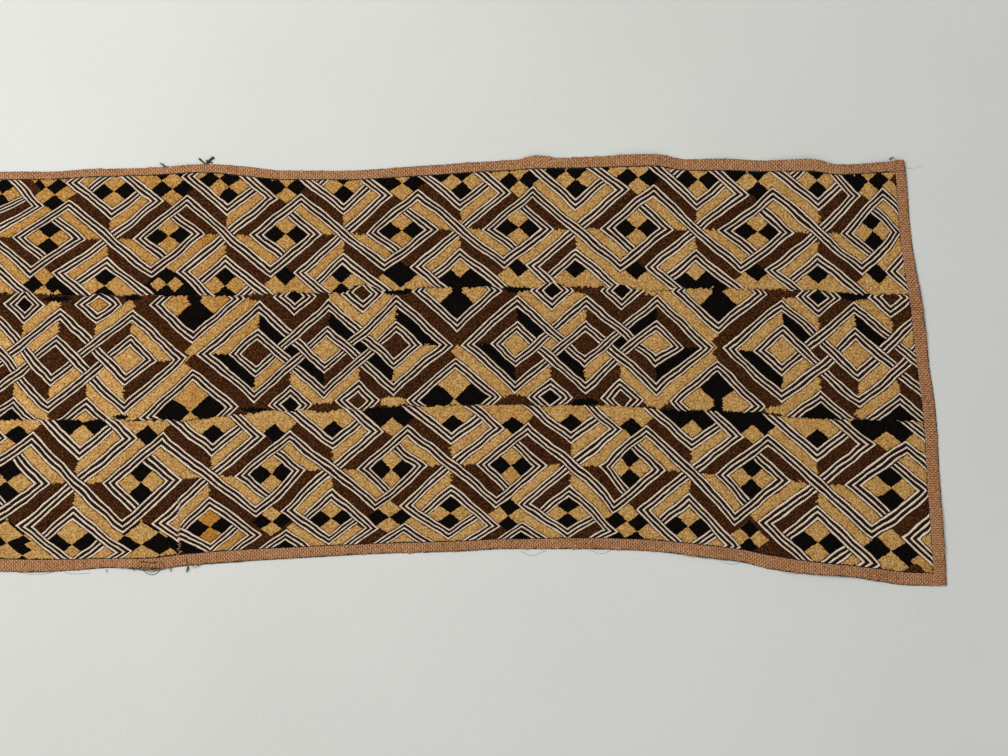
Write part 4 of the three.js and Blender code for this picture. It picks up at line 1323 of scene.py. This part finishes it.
# ------------------------------------------------------------------ the three panels
upper_warp = Warp(outer_controls(UPPER_RINGS, UPPER_VEES, UPPER_PEAKS, singles=[(-1, 1, 3.0, 194.6)]), 58.6, 46.0)
lower_warp = Warp(outer_controls(LOWER_RINGS, LOWER_VEES, LOWER_PEAKS, LOWER_FEET, LOWER_CORNERS, LOWER_NEXT), 61.0, 48.0)
middle_warp = Warp(middle_controls(), W1, W2)

# where the pile stops short of the binding, the ground's painted shade shows as a dark line
EDGE = 0.9  # the pile stops this far short of the binding


def ring_units(p, q):
    return (p + q) / M, (p - q) / M


def line_units(p, q):
    return (p + q) / 2, (p - q) / 2


upper_chart = outer_chart(UPPER_RING_COLOURS, UPPER_HIGH, UPPER_LOW, UPPER_TOP_CLUSTERS, UPPER_LOW_CLUSTERS, 5,
                          lambda k: None, lambda k: "upper" if k >= 4 else ("small" if k == 2 else None),
                          sides={2: 5.4, 6: 10.2, 12: 8.6, 14: 8.4, 0: 6.6}, drops={6: 3.4}, open_tops={3, 7, 9},
                          open_feet={-5: k_, -3: k_, -1: k_, 1: k_, 5: k_, 7: k_, 9: g_, 11: k_, 13: g_, 15: k_}, skip={15},
                          patches=[(7, M / 2, M / 2 + B1 + 4, -M / 2 - B1 - 6, -M / 2 - CORE + 1, g_)])
lower_chart = outer_chart(LOWER_RING_COLOURS, LOWER_HIGH, LOWER_LOW, LOWER_TOP_CLUSTERS, LOWER_LOW_CLUSTERS, 6,
                          lambda k: "lower", lambda k: "four" if k in (4, 6, 8, 12) else None,
                          [(4, k_, n_, g_), (6, g_, n_, g_), (8, k_, n_, g_)],
                          sides={-2: 9.0, 0: 9.0, 2: 9.2, 4: 6.2, 6: 6.8, 8: 6.6, 12: 6.2, 14: 8.4},
                          drops={-2: 2.4, 0: 2.6, 2: 3.0, 1: 1.9, -1: 1.6, 12: 0.8, 4: -1.2},
                          open_tops={-5, -3, -1, 1, 3, 5, 7, 9, 11, 13, 15},
                          patches=[(12, -M, -M / 2 - 7.0, M / 2 - 7.0, M / 2 - 0.8, g_), (6, -M / 2 - 14, -M / 2 - 6.8, B0, M - B0, n_),
                                   (14, -M, -M / 2 + 4.0, M / 2 + 8.6, M / 2 + 17, n_)])
middle_chart_ = middle_chart()

panel_upper = Panel("upper", upper_chart, upper_warp, ring_units,
                    lambda x: upper_seam(x) + upper_rag(x), lambda x: top_inner(x) - EDGE, [], "ring", 100, 158)
panel_middle = Panel("middle", middle_chart_, middle_warp, line_units,
                     lambda x: lower_seam(x) + lower_rag(x), lambda x: upper_seam(x) + upper_rag(x),
                     UPPER_LENSES + LOWER_LENSES, "line", 200, 164)
panel_lower = Panel("lower", lower_chart, lower_warp, ring_units,
                    lambda x: bottom_inner(x) + EDGE, lambda x: lower_seam(x) + lower_rag(x), [], "ring", 300, 192)
panel_upper.low_line, panel_upper.high_line = upper_seam, top_inner
panel_middle.low_line, panel_middle.high_line = lower_seam, upper_seam
panel_lower.low_line, panel_lower.high_line = bottom_inner, lower_seam

RIDGE = [(-1.0, 0.0), (-0.62, 0.82), (0.0, 1.0), (0.62, 0.82), (1.0, 0.0)]
LOW_RIDGE = [(-1.0, 0.3), (0.0, 1.0), (1.0, 0.3)]
for panel, node in ((panel_upper, "panel_upper"), (panel_middle, "panel_middle"), (panel_lower, "panel_lower")):
    ground = panel.ground(ground_material_)
    cream = panel.lines("lines_cream", (-2.0, 0.0, 2.0), 0.385, 0.84, cream_material, 1.5, panel.seed + 20, RIDGE)
    dark = panel.lines("lines_dark", (-1.0, 1.0), 0.61, 0.50, dark_material, 1.8, panel.seed + 30, LOW_RIDGE)
    piles = panel.pile(pile_materials)
    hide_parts(node)
    for ob in (ground, cream, dark, *piles.values()):
        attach(ob, "root")


# ------------------------------------------------------------------ bindings
def binding(name, node, points, seed):
    """points(s) gives, for stations s in millimetres, the outer edge and the inner edge."""
    s, outer, inner = points
    r = np.random.default_rng(seed)
    n = len(s)
    width = np.linalg.norm(inner - outer, axis=1)
    across = (inner - outer) / width[:, None]
    rib = np.where(np.arange(n) % 2 == 0, 1.0, -1.0)
    slow = field(seed + 1, 8, 18.0, 70.0)
    quick = field(seed + 2, 10, 3.0, 9.0)
    uneven = field(seed + 3, 10, 9.0, 46.0)(s, s * 0)
    wave = slow(s, s * 0)
    fine = quick(s, s * 0)
    # share of the way in, height, how far the ribs show
    profile = [(1.0, 0.05, 0), (0.5, 0.02, 0), (0.05, 0.02, 0), (0.0, 0.55, 0.2), (0.012, 1.12, 0.5), (0.10, 1.56, 1),
               (0.26, 1.80, 1), (0.44, 1.88, 1), (0.62, 1.92, 1), (0.80, 2.02, 1), (0.93, 2.20, 0.8), (1.0, 2.06, 0.4)]
    k = len(profile)
    x = np.empty((n, k))
    y = np.empty((n, k))
    z = np.empty((n, k))
    side = np.empty((n, k))
    for i, (t, h, show) in enumerate(profile):
        edge = (0.24 * fine + 0.42 * uneven) * (1 - t) * (0 < t < 1 or t == 0) + 0.28 * fine * (t > 0.9)
        spot = outer + across * (t * width + edge)[:, None]
        x[:, i], y[:, i] = spot[:, 0], spot[:, 1]
        z[:, i] = h + show * (0.055 * rib * (1 + 0.3 * r.uniform(-1, 1, n)) + 0.10 * wave * (h > 1) + 0.05 * r.uniform(-1, 1, n))
        side[:, i] = t * width
    z[:, 0:3] = np.maximum(z[:, 0:3], 0)
    z = z + lift(x, y)
    v = place(x, y, z).reshape(-1, 3)
    idx = np.arange(n * k).reshape(n, k)
    nxt = np.roll(idx, -1, axis=1)
    a, b, c, d = idx[:-1], idx[1:], nxt[1:], nxt[:-1]
    tri = np.concatenate([np.stack([a, b, c], -1).reshape(-1, 3), np.stack([a, c, d], -1).reshape(-1, 3)])
    caps = []
    for e in (0, n - 1):
        row = idx[e]
        caps += [[row[0], row[i], row[i + 1]] for i in range(1, k - 1)] if e else [[row[0], row[i + 1], row[i]] for i in range(1, k - 1)]
    tri = np.concatenate([tri, np.array(caps)])
    # outward faces: the top is profile 6 to 8
    test = tri[(tri % k >= 5).all(1) & (tri % k <= 9).all(1)]
    normal = np.cross(v[test[:, 1]] - v[test[:, 0]], v[test[:, 2]] - v[test[:, 0]])
    if normal[:, 2].mean() < 0:
        tri = tri[:, ::-1].copy()
    # unrolled, in rows
    round_ = np.concatenate([[0], np.cumsum([math.hypot((profile[i + 1][0] - profile[i][0]) * 12.5, profile[i + 1][1] - profile[i][1]) for i in range(k - 1)])])
    tall = round_[-1] + 2.2
    length = s[-1] - s[0]
    rows = max(1, int(round(math.sqrt(length / (tall + 1.5)))))
    one = length / rows
    scale = min(0.985 / (one + 2), 0.99 / (rows * (tall + 1.2)))
    ss = np.broadcast_to((s - s[0])[:, None], (n, k)).ravel()
    hh = np.broadcast_to(round_[None, :], (n, k)).ravel()
    st, ht = ss[tri], hh[tri]
    wrap = (ht.max(1) - ht.min(1)) > tall / 2
    ht = np.where(wrap[:, None] & (ht < 1.0), round_[-1] + 2.0, ht)
    row = np.clip((st.mean(1) / one).astype(int), 0, rows - 1)
    u = (st - (row * one)[:, None] + 1.0) * scale
    w = (ht + 0.5 + (row * (tall + 1.2))[:, None]) * scale
    uv = np.stack([np.clip(u, 0.001, 0.999), np.clip(w, 0.001, 0.999)], -1).reshape(-1, 2)
    ob = mesh_piece(name, v, tri, binding_material_, uv,
                    {"run": np.broadcast_to(s[:, None], (n, k)).ravel(), "side": side.ravel()})
    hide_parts(node)
    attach(ob, "root")
    return ob


RIB = 0.8


def long_edge(edge, inner_edge, start, end):
    x0, x1 = start, end
    n = int((x1 - x0) / RIB)
    x = np.linspace(x0, x1, n)
    outer = np.stack([x, edge(x)], 1)
    inner = np.stack([x, inner_edge(x)], 1)
    return x, outer, inner


def fixed(line, high):
    """Where a long strip meets an end strip, at its middle."""
    x = 0.0 if not high else 1450.0
    for _ in range(8):
        x = float(line(0.5 * (float(high and top_edge(x) or 0) + 0)))
    return x


def meet_x(end_inner, edge):
    x = float(end_inner(0.0))
    for _ in range(12):
        x = float(end_inner(float(edge(x))))
    return x


top_mid = lambda x: top_edge(x) - top_width(x) / 2
bottom_mid = lambda x: bottom_edge(x) + bottom_width(x) / 2
tl0 = meet_x(left_inner, top_mid) + GAP / 2
tr1 = meet_x(right_inner, top_mid) - GAP / 2
bl0 = meet_x(left_inner, bottom_mid) + GAP / 2
br1 = meet_x(right_inner, bottom_mid) - GAP / 2
binding("binding_cloth_top_left", "binding_top_left", long_edge(top_edge, lambda x: top_inner(x) + GAP / 2, tl0, TOP_JOINT - GAP / 2), 401)
binding("binding_cloth_top_right", "binding_top_right", long_edge(top_edge, lambda x: top_inner(x) + GAP / 2, TOP_JOINT + GAP / 2, tr1), 402)
binding("binding_cloth_bottom_left", "binding_bottom_left", long_edge(bottom_edge, lambda x: bottom_inner(x) - GAP / 2, bl0, BOTTOM_JOINT - GAP / 2), 403)
binding("binding_cloth_bottom_right", "binding_bottom_right", long_edge(bottom_edge, lambda x: bottom_inner(x) - GAP / 2, BOTTOM_JOINT + GAP / 2, br1), 404)


def end_edge(edge, inner_edge):
    """An end strip from the lower corner to the upper one."""
    low = high = 0.0
    xl = xh = float(edge(0.0))
    for _ in range(12):
        low, high = float(bottom_edge(xl)), float(top_edge(xh))
        xl, xh = float(edge(low)), float(edge(high))
    n = int((high - low) / RIB)
    y = np.linspace(low, high, n)
    outer = np.stack([edge(y), y], 1)
    inner = np.stack([inner_edge(y), y], 1)
    return y - y[0], outer, inner


binding("binding_cloth_right", "binding_right", end_edge(right_edge, lambda y: right_inner(y) + GAP / 2), 405)
binding("binding_cloth_left", "binding_left", end_edge(left_edge, lambda y: left_inner(y) - GAP / 2), 406)


# ------------------------------------------------------------------ threads
def tube(path, radius, sides=5, taper=False):
    """Vertices and triangles of a closed tube along points in table millimetres."""
    p = np.asarray(path, float)
    n = len(p)
    d = np.gradient(p, axis=0)
    d /= np.linalg.norm(d, axis=1)[:, None] + 1e-9
    up = np.array([0, 0, 1.0])
    a = np.cross(d, up)
    weak = np.linalg.norm(a, axis=1) < 0.05
    a[weak] = np.cross(d[weak], np.array([1.0, 0, 0]))
    a /= np.linalg.norm(a, axis=1)[:, None]
    b = np.cross(a, d)
    r = np.full(n, radius) if np.isscalar(radius) else np.asarray(radius, float)
    if taper:
        r = r * np.linspace(1.0, 0.45, n)
    ang = np.arange(sides) / sides * 2 * np.pi
    ring = (p[:, None, :] + (a[:, None, :] * np.cos(ang)[None, :, None]
            + b[:, None, :] * np.sin(ang)[None, :, None]) * r[:, None, None])
    v = ring.reshape(-1, 3)
    idx = np.arange(n * sides).reshape(n, sides)
    nx = np.roll(idx, -1, 1)
    q = [np.stack([idx[:-1], nx[:-1], nx[1:]], -1).reshape(-1, 3), np.stack([idx[:-1], nx[1:], idx[1:]], -1).reshape(-1, 3)]
    ends = []
    for e, flip in ((0, True), (n - 1, False)):
        row = idx[e]
        f = [[row[0], row[i], row[i + 1]] for i in range(1, sides - 1)]
        ends += [t[::-1] if flip else t for t in f]
    tri = np.concatenate(q + [np.array(ends)])
    return v, tri


gathered = {}


def threads(name, tubes, material, slot):
    """Threads of one name are laid as one piece by lay_threads."""
    gathered.setdefault(name, (material, slot, []))[2].extend(tubes)


def lay_threads():
    for name, (material, slot, tubes) in gathered.items():
        vs, ts, c = [], [], 0
        for v, t in tubes:
            vs.append(v)
            ts.append(t + c)
            c += len(v)
        v, t = np.concatenate(vs), np.concatenate(ts)
        w = place(v[:, 0], v[:, 1], v[:, 2])
        n = np.cross(w[t[:, 1]] - w[t[:, 0]], w[t[:, 2]] - w[t[:, 0]])
        t = t[np.linalg.norm(n, axis=1) > 1e-14]
        ob = mesh_piece(name, w, t, material)
        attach(ob, "root")


def from_picture(points, z):
    p = np.asarray(points, float)
    z = np.broadcast_to(np.asarray(z, float), len(p))
    x, y = (p[:, 0] + LEFT_END) * SCALE, (MIDDLE_ROW - p[:, 1]) * SCALE
    inside = (y < top_edge(x)) & (y > bottom_edge(x)) & (x < right_edge(y))
    return np.stack([x, y, z + np.where(inside, lift(x, y), 0)], 1)


def smooth_path(points, per=6):
    """A soft curve through points (Catmull-Rom)."""
    p = np.asarray(points, float)
    p = np.vstack([2 * p[0] - p[1], p, 2 * p[-1] - p[-2]])
    out = []
    for i in range(1, len(p) - 2):
        t = np.linspace(0, 1, per, endpoint=False)[:, None]
        a, b, c, d = p[i - 1], p[i], p[i + 1], p[i + 2]
        out.append(0.5 * (2 * b + (c - a) * t + (2 * a - 5 * b + 4 * c - d) * t ** 2 + (3 * b - a - 3 * c + d) * t ** 3))
    return np.vstack(out + [p[-2][None]])


# whip stitches over the outer fold, small and dark
def fold_stitches(name, s, outer, inner, seed, pitch=3.4):
    r = np.random.default_rng(seed)
    n = int((s[-1] - s[0]) / pitch)
    at = (np.arange(n) + 0.5 + r.uniform(-0.3, 0.3, n)) / n * (len(s) - 1)
    tubes = []
    for a in at:
        i = int(a)
        if r.random() < 0.16:
            continue
        o, inn = outer[i], inner[i]
        d = (inn - o) / np.linalg.norm(inn - o)
        along = np.array([-d[1], d[0]])
        lean = r.uniform(-0.5, 0.9)
        deep = r.uniform(0.7, 1.7)
        pts = []
        for f, h in ((-0.10, 0.25), (-0.22, 0.75), (0.02, 1.32), (0.55, 1.60), (1.0, 1.72)):
            q = o + d * (f * deep) + along * lean * f
            pts.append([q[0], q[1], h])
        pts = np.array(pts)
        pts[:, 2] += lift(np.full(5, o[0]), np.full(5, o[1]))
        tubes.append(tube(pts, r.uniform(0.13, 0.22), 4))
    return threads(name, tubes, black_thread, "pile_black")


tops = long_edge(top_edge, top_inner, tl0, tr1)
bots = long_edge(bottom_edge, bottom_inner, bl0, br1)
rights = end_edge(right_edge, right_inner)
lefts = end_edge(left_edge, left_inner)
fold_stitches("stitches_black_and_slit_shade", *tops, 501)
fold_stitches("stitches_black_and_slit_shade", *bots, 502, 2.6)
fold_stitches("stitches_black_and_slit_shade", *rights, 503, 3.0)
fold_stitches("stitches_black_and_slit_shade", *lefts, 504, 3.0)


def dark_fold_edge_and_shade(name, s, outer, inner, seed, thick):
    """A dark, uneven cord along the outer fold: partly the real dark edge, partly painted shade of the fold."""
    r = np.random.default_rng(seed)
    keep = slice(2, -2, 2)
    o, inn = outer[keep], inner[keep]
    d = (inn - o) / np.linalg.norm(inn - o, axis=1)[:, None]
    wave = field(seed, 12, 2.5, 14.0)
    w = wave(s[keep], s[keep] * 0)
    q = o + d * (0.10 + 0.18 * w)[:, None]
    z = 0.62 + 0.16 * w + lift(q[:, 0], q[:, 1])
    path = np.stack([q[:, 0], q[:, 1], z], 1)
    radius = thick * (1 + 0.35 * r.uniform(-1, 1, len(path)))
    return threads(name, [tube(path, radius, 5)], dark_thread, "pile_brown")


# painted shade: the cord is thickest at the bottom and right and thinnest at the top, following where the fold's shade
# falls
dark_fold_edge_and_shade("threads_dark_and_fold_shade", *bots, 521, 0.58)
dark_fold_edge_and_shade("threads_dark_and_fold_shade", *rights, 522, 0.50)
dark_fold_edge_and_shade("threads_dark_and_fold_shade", *lefts, 523, 0.36)
dark_fold_edge_and_shade("threads_dark_and_fold_shade", *tops, 524, 0.24)


# running stitches near the inner edge of the binding, pale and half sunk
def inner_stitches(name, s, outer, inner, seed, pitch=4.6):
    r = np.random.default_rng(seed)
    n = int((s[-1] - s[0]) / pitch)
    at = (np.arange(n) + 0.5 + r.uniform(-0.25, 0.25, n)) / n * (len(s) - 1)
    tubes = []
    for a in at:
        i = int(a)
        if r.random() < 0.12:
            continue
        o, inn = outer[i], inner[i]
        d = (inn - o) / np.linalg.norm(inn - o)
        along = np.array([-d[1], d[0]])
        l = r.uniform(0.9, 1.6)
        c = inn - d * r.uniform(0.35, 0.75)
        pts = []
        for f, h in ((-1, 2.02), (-0.4, 2.30), (0.4, 2.30), (1, 2.02)):
            q = c + along * f * l / 1.0 + d * 0.18 * f
            pts.append([q[0], q[1], h])
        pts = np.array(pts)
        pts[:, 2] += lift(np.full(4, c[0]), np.full(4, c[1]))
        tubes.append(tube(pts, r.uniform(0.16, 0.24), 4))
    return threads(name, tubes, pink_thread, "binding_cloth")


inner_stitches("stitches_pink", *tops, 511)
inner_stitches("stitches_pink", *bots, 512)
inner_stitches("stitches_pink", *rights, 513)
inner_stitches("stitches_pink", *lefts, 514)


def tuft(points, count, spread, length, seed, z=(0.6, 3.0), radius=0.22):
    """Short frayed ends that start near the points and bend away."""
    r = np.random.default_rng(seed)
    tubes = []
    p = np.asarray(points, float)
    for _ in range(count):
        c = p[r.integers(len(p))] + r.normal(0, spread, 2)
        turn = r.uniform(0, 2 * np.pi)
        bend = r.uniform(-1.2, 1.2)
        l = length * r.uniform(0.45, 1.15)
        pts = [c]
        h = [r.uniform(*z)]
        for k in range(4):
            turn += bend / 4 + r.normal(0, 0.25)
            pts.append(pts[-1] + np.array([math.cos(turn), math.sin(turn)]) * l / 4)
            h.append(max(0.25, h[-1] + r.normal(0, 0.5)))
        path = from_picture(smooth_path(pts, 3), smooth_path(np.array(h)[:, None], 3)[:, 0])
        tubes.append(tube(path, radius * r.uniform(0.7, 1.3), 4, True))
    return tubes


loose_dark = []
# the ends lie flat, in bundles: middle line, how many, spread, thickness
for number, (line, many, spread, thick) in enumerate((
    ([(199.5, 158.6), (202.5, 161.8), (206.0, 164.0), (208.0, 165.2)], 12, 0.75, 0.30),
    ([(213.6, 157.6), (210.5, 159.8), (207.5, 163.0), (205.5, 165.4)], 15, 0.95, 0.32),
    ([(206.5, 160.8), (209.5, 161.8), (213.0, 162.2)], 8, 0.8, 0.28),
    ([(160.2, 163.6), (163.5, 165.4), (167.6, 167.2)], 7, 0.55, 0.26),
    ([(163.8, 163.4), (163.2, 165.4), (164.0, 167.4)], 3, 0.5, 0.24),
    ([(889.2, 159.8), (891.5, 157.8), (893.6, 158.6)], 8, 0.55, 0.26),
    ([(133.2, 566.0), (133.4, 569.0), (134.4, 571.6)], 6, 0.5, 0.26),
    ([(131.2, 568.4), (134.0, 568.0), (136.6, 569.2)], 4, 0.4, 0.22),
    ([(170.6, 567.4), (171.4, 569.4), (170.4, 571.4)], 6, 0.5, 0.26),
    ([(188.6, 566.8), (188.0, 569.4), (186.6, 571.8)], 12, 0.65, 0.34),
    ([(107.0, 569.4), (106.6, 571.6), (107.8, 573.2)], 3, 0.3, 0.2),
    ([(200.4, 564.4), (197.5, 566.2), (194.0, 567.2)], 5, 0.5, 0.22),
)):
    r_ = np.random.default_rng(700 + number)
    for _ in range(many):
        pts = np.array(line) + r_.normal(0, spread * 0.5, 2) + r_.normal(0, spread * 0.35, (len(line), 2))
        if r_.random() < 0.4:
            pts = pts[: max(2, len(pts) - 1)]
        path = smooth_path(pts, 5)
        loose_dark.append(tube(from_picture(path, r_.uniform(0.4, 1.9)), thick * r_.uniform(0.7, 1.2), 5, True))

loose_light = []
loose_light += tuft([(204.5, 170.5), (206, 171.5)], 12, 0.9, 4.2, 611, (2.2, 3.0), 0.2)
loose_light += tuft([(193, 565.6), (196, 564.8)], 7, 0.7, 3.4, 612, (1.4, 2.4), 0.2)
loose_light.append(tube(from_picture(smooth_path([(773, 161.5), (773.6, 159.6), (772.6, 158.2), (773.8, 156.6)]), 1.6), 0.2, 5, True))
loose_light.append(tube(from_picture(smooth_path([(889.5, 173.5), (890.6, 171.6), (892.6, 171.0), (893.4, 172.4), (892.6, 173.6)]), 2.8), 0.24, 5, True))
arc = [(142.5, 567.5), (143.6, 570.2), (146.5, 573.0), (150.5, 574.6), (155.0, 574.0), (158.8, 571.4), (161.0, 567.6)]
loose_dark.append(tube(from_picture(smooth_path(arc), 0.5), 0.30, 5))
arc2 = [(144.0, 566.8), (146.5, 569.8), (150.0, 572.0), (154.5, 571.4), (158.0, 568.8), (159.6, 566.2)]
loose_dark.append(tube(from_picture(smooth_path(arc2), 0.9), 0.26, 5))
arc3 = [(137.0, 568.2), (140.0, 569.8), (144.5, 570.6), (149.5, 569.9), (155.5, 570.6), (161.5, 569.8), (166.0, 568.0)]
loose_dark.append(tube(from_picture(smooth_path(arc3), 0.7), 0.28, 5))
threads("threads_dark_and_fold_shade", loose_dark, dark_thread, "pile_brown")
threads("threads_light", loose_light, light_thread, "line_cream")

hairs = [tube(from_picture(smooth_path([(903.5, 167.8), (908, 168.4), (914, 168.0), (919, 166.6), (923, 165.4)]), 0.6), 0.14, 4, True)]
r_ = np.random.default_rng(620)
for x0, y0, run, drop in ((20, 572.4, 34, 2.0), (64, 572.2, 26, 1.6), (214, 562.6, 40, 1.6), (520, 550.6, 26, 4.2),
                          (590, 549.6, 22, 4.0), (716, 557.0, 24, 4.0), (772, 566.4, 30, 3.4)):
    pts = [(x0 + run * t, y0 + drop * math.sin(math.pi * t) + (0.0 if x0 < 600 else 9.0 * t * (run / 40)) - (8.0 * t if 200 < x0 < 300 else 0) * run / 90 + r_.normal(0, 0.25))
           for t in np.linspace(0, 1, 7)]
    hairs.append(tube(from_picture(smooth_path(pts, 5), 0.35), 0.14, 4))
threads("hair_threads", hairs, grey_thread, "line_cream")

# the rolled and torn bit of the lower binding
roll = []
path = smooth_path([(139.5, 566.2), (143.5, 564.6), (148, 564.0), (153, 564.3), (158, 564.8), (163, 566.0), (166.5, 567.0)], 7)
h = 2.5 + 0.35 * np.sin(np.linspace(0, 9, len(path)))
rad = 1.75 * np.sin(np.linspace(0.12, math.pi - 0.12, len(path))) ** 0.5 * (1 + 0.14 * np.sin(np.linspace(0, 37, len(path))))
roll.append(tube(from_picture(path, h - 0.7), rad, 10))
path = smooth_path([(141, 568.4), (146, 568.2), (152, 569.0), (158, 568.6), (163, 568.2)], 7)
rad = 1.0 * np.sin(np.linspace(0.12, math.pi - 0.12, len(path))) ** 0.5 * (1 + 0.16 * np.sin(np.linspace(0, 31, len(path))))
roll.append(tube(from_picture(path, 1.2), rad, 9))
vs, ts, c = [], [], 0
for v, t in roll:
    vs.append(v), ts.append(t + c)
    c += len(v)
v, t = np.concatenate(vs), np.concatenate(ts)
ob = mesh_piece("rolled_edge", place(v[:, 0], v[:, 1], v[:, 2]), t, binding_material_, None,
                {"run": v[:, 0], "side": v[:, 1]})
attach(ob, "root")
# painted shade: the first three black tubes stand for the shade in the creases of the rolled edge; the next two are the
# binding's real dark joints
slit = [tube(from_picture(smooth_path([(141.0, 561.6), (145, 561.4), (149, 562.0), (153, 562.6), (158.5, 561.4)]), 1.95), 0.62, 6),
        tube(from_picture(smooth_path([(138.5, 565.0), (143, 567.4), (149, 567.4), (156, 567.6), (164, 568.6)]), 2.1), 0.42, 6),
        tube(from_picture(smooth_path([(160.0, 560.2), (163, 563.0), (164.6, 566.4)]), 2.0), 0.34, 5)]
slit.append(tube(from_picture(smooth_path([(187.2, 556.4), (187.0, 560.0), (187.4, 565.0)]), 2.0), 0.42, 5))
slit += [tube(from_picture(smooth_path([(205.3, 168.2), (204.9, 171.0), (205.4, 174.2)]), 2.0), 0.36, 5)]
threads("stitches_black_and_slit_shade", slit, black_thread, "pile_black")

# the mended slit in the lower panel
mend_pink, mend_white = [], []
r_ = np.random.default_rng(630)
for y0 in np.arange(499, 552, 1.9):
    cx = 179.4 + 0.6 * math.sin(y0 * 0.35) + r_.normal(0, 0.25)
    w = r_.uniform(1.0, 1.9)
    tilt = r_.uniform(-0.8, 0.8)
    pts = [(cx - w, y0 + tilt), (cx - w * 0.3, y0 + tilt * 0.3), (cx + w * 0.4, y0 - tilt * 0.4), (cx + w, y0 - tilt)]
    t_ = tube(from_picture(smooth_path(pts, 3), smooth_path(np.array([[2.1], [2.85], [2.85], [2.1]]), 3)[:, 0]), r_.uniform(0.22, 0.34), 5)
    (mend_white if y0 > 546 else mend_pink).append(t_)
threads("stitches_pink", mend_pink, pink_thread, "binding_cloth")
threads("threads_light", mend_white, light_thread, "line_cream")

lay_threads()

# ------------------------------------------------------------------ floor, light, world
floor_mesh = bpy.data.meshes.new("floor")
floor_mesh.from_pydata([(-6, -6, -0.0002), (6, -6, -0.0002), (6, 6, -0.0002), (-6, 6, -0.0002)], [], [(0, 1, 2, 3)])
floor = bpy.data.objects.new("floor", floor_mesh)
scene.collection.objects.link(floor)
fn = Nodes("floor", 0.9)
grain = fn.math("ADD", fn.math("MULTIPLY", fn.noise(3.0, 3.0, 0.5), 0.6), fn.math("MULTIPLY", fn.noise(240.0, 3.0, 0.7), 0.4))
fn.colour(fn.ramp(grain, (0.34, (0.693, 0.701, 0.665)), (0.66, (0.742, 0.749, 0.712))))
floor_mesh.materials.append(fn.m)

world = bpy.data.worlds.new("studio")
world.use_nodes = True
world.node_tree.nodes["Background"].inputs[0].default_value = (0.98, 0.99, 1.0, 1.0)
world.node_tree.nodes["Background"].inputs[1].default_value = 0.42
scene.world = world


def area_light(name, at, target, size, power, colour):
    data = bpy.data.lights.new(name, "AREA")
    data.shape = "RECTANGLE"
    data.size, data.size_y = size
    data.energy = power
    data.color = colour
    ob = bpy.data.objects.new(name, data)
    ob.location = at
    ob.rotation_euler = (Vector(target) - Vector(at)).to_track_quat("-Z", "Y").to_euler()
    scene.collection.objects.link(ob)
    return ob


area_light("key", (-1.42, 0.93, 1.92), (0.0, 0.05, 0.0), (1.3, 1.1), 43.5, (1.0, 0.985, 0.955))
area_light("fill", (0.9, -1.4, 1.9), (0.1, 0.0, 0.0), (1.8, 1.8), 7.0, (0.98, 0.985, 1.0))

scene.view_settings.view_transform = "Standard"
scene.view_settings.look = "None"

count = {o.name: len(o.data.polygons) for o in pieces}
print("TRIANGLES", sum(count.values()), max(count.values()))
for key, value in sorted(count.items(), key=lambda kv: -kv[1])[:14]:
    print("  ", key, value)
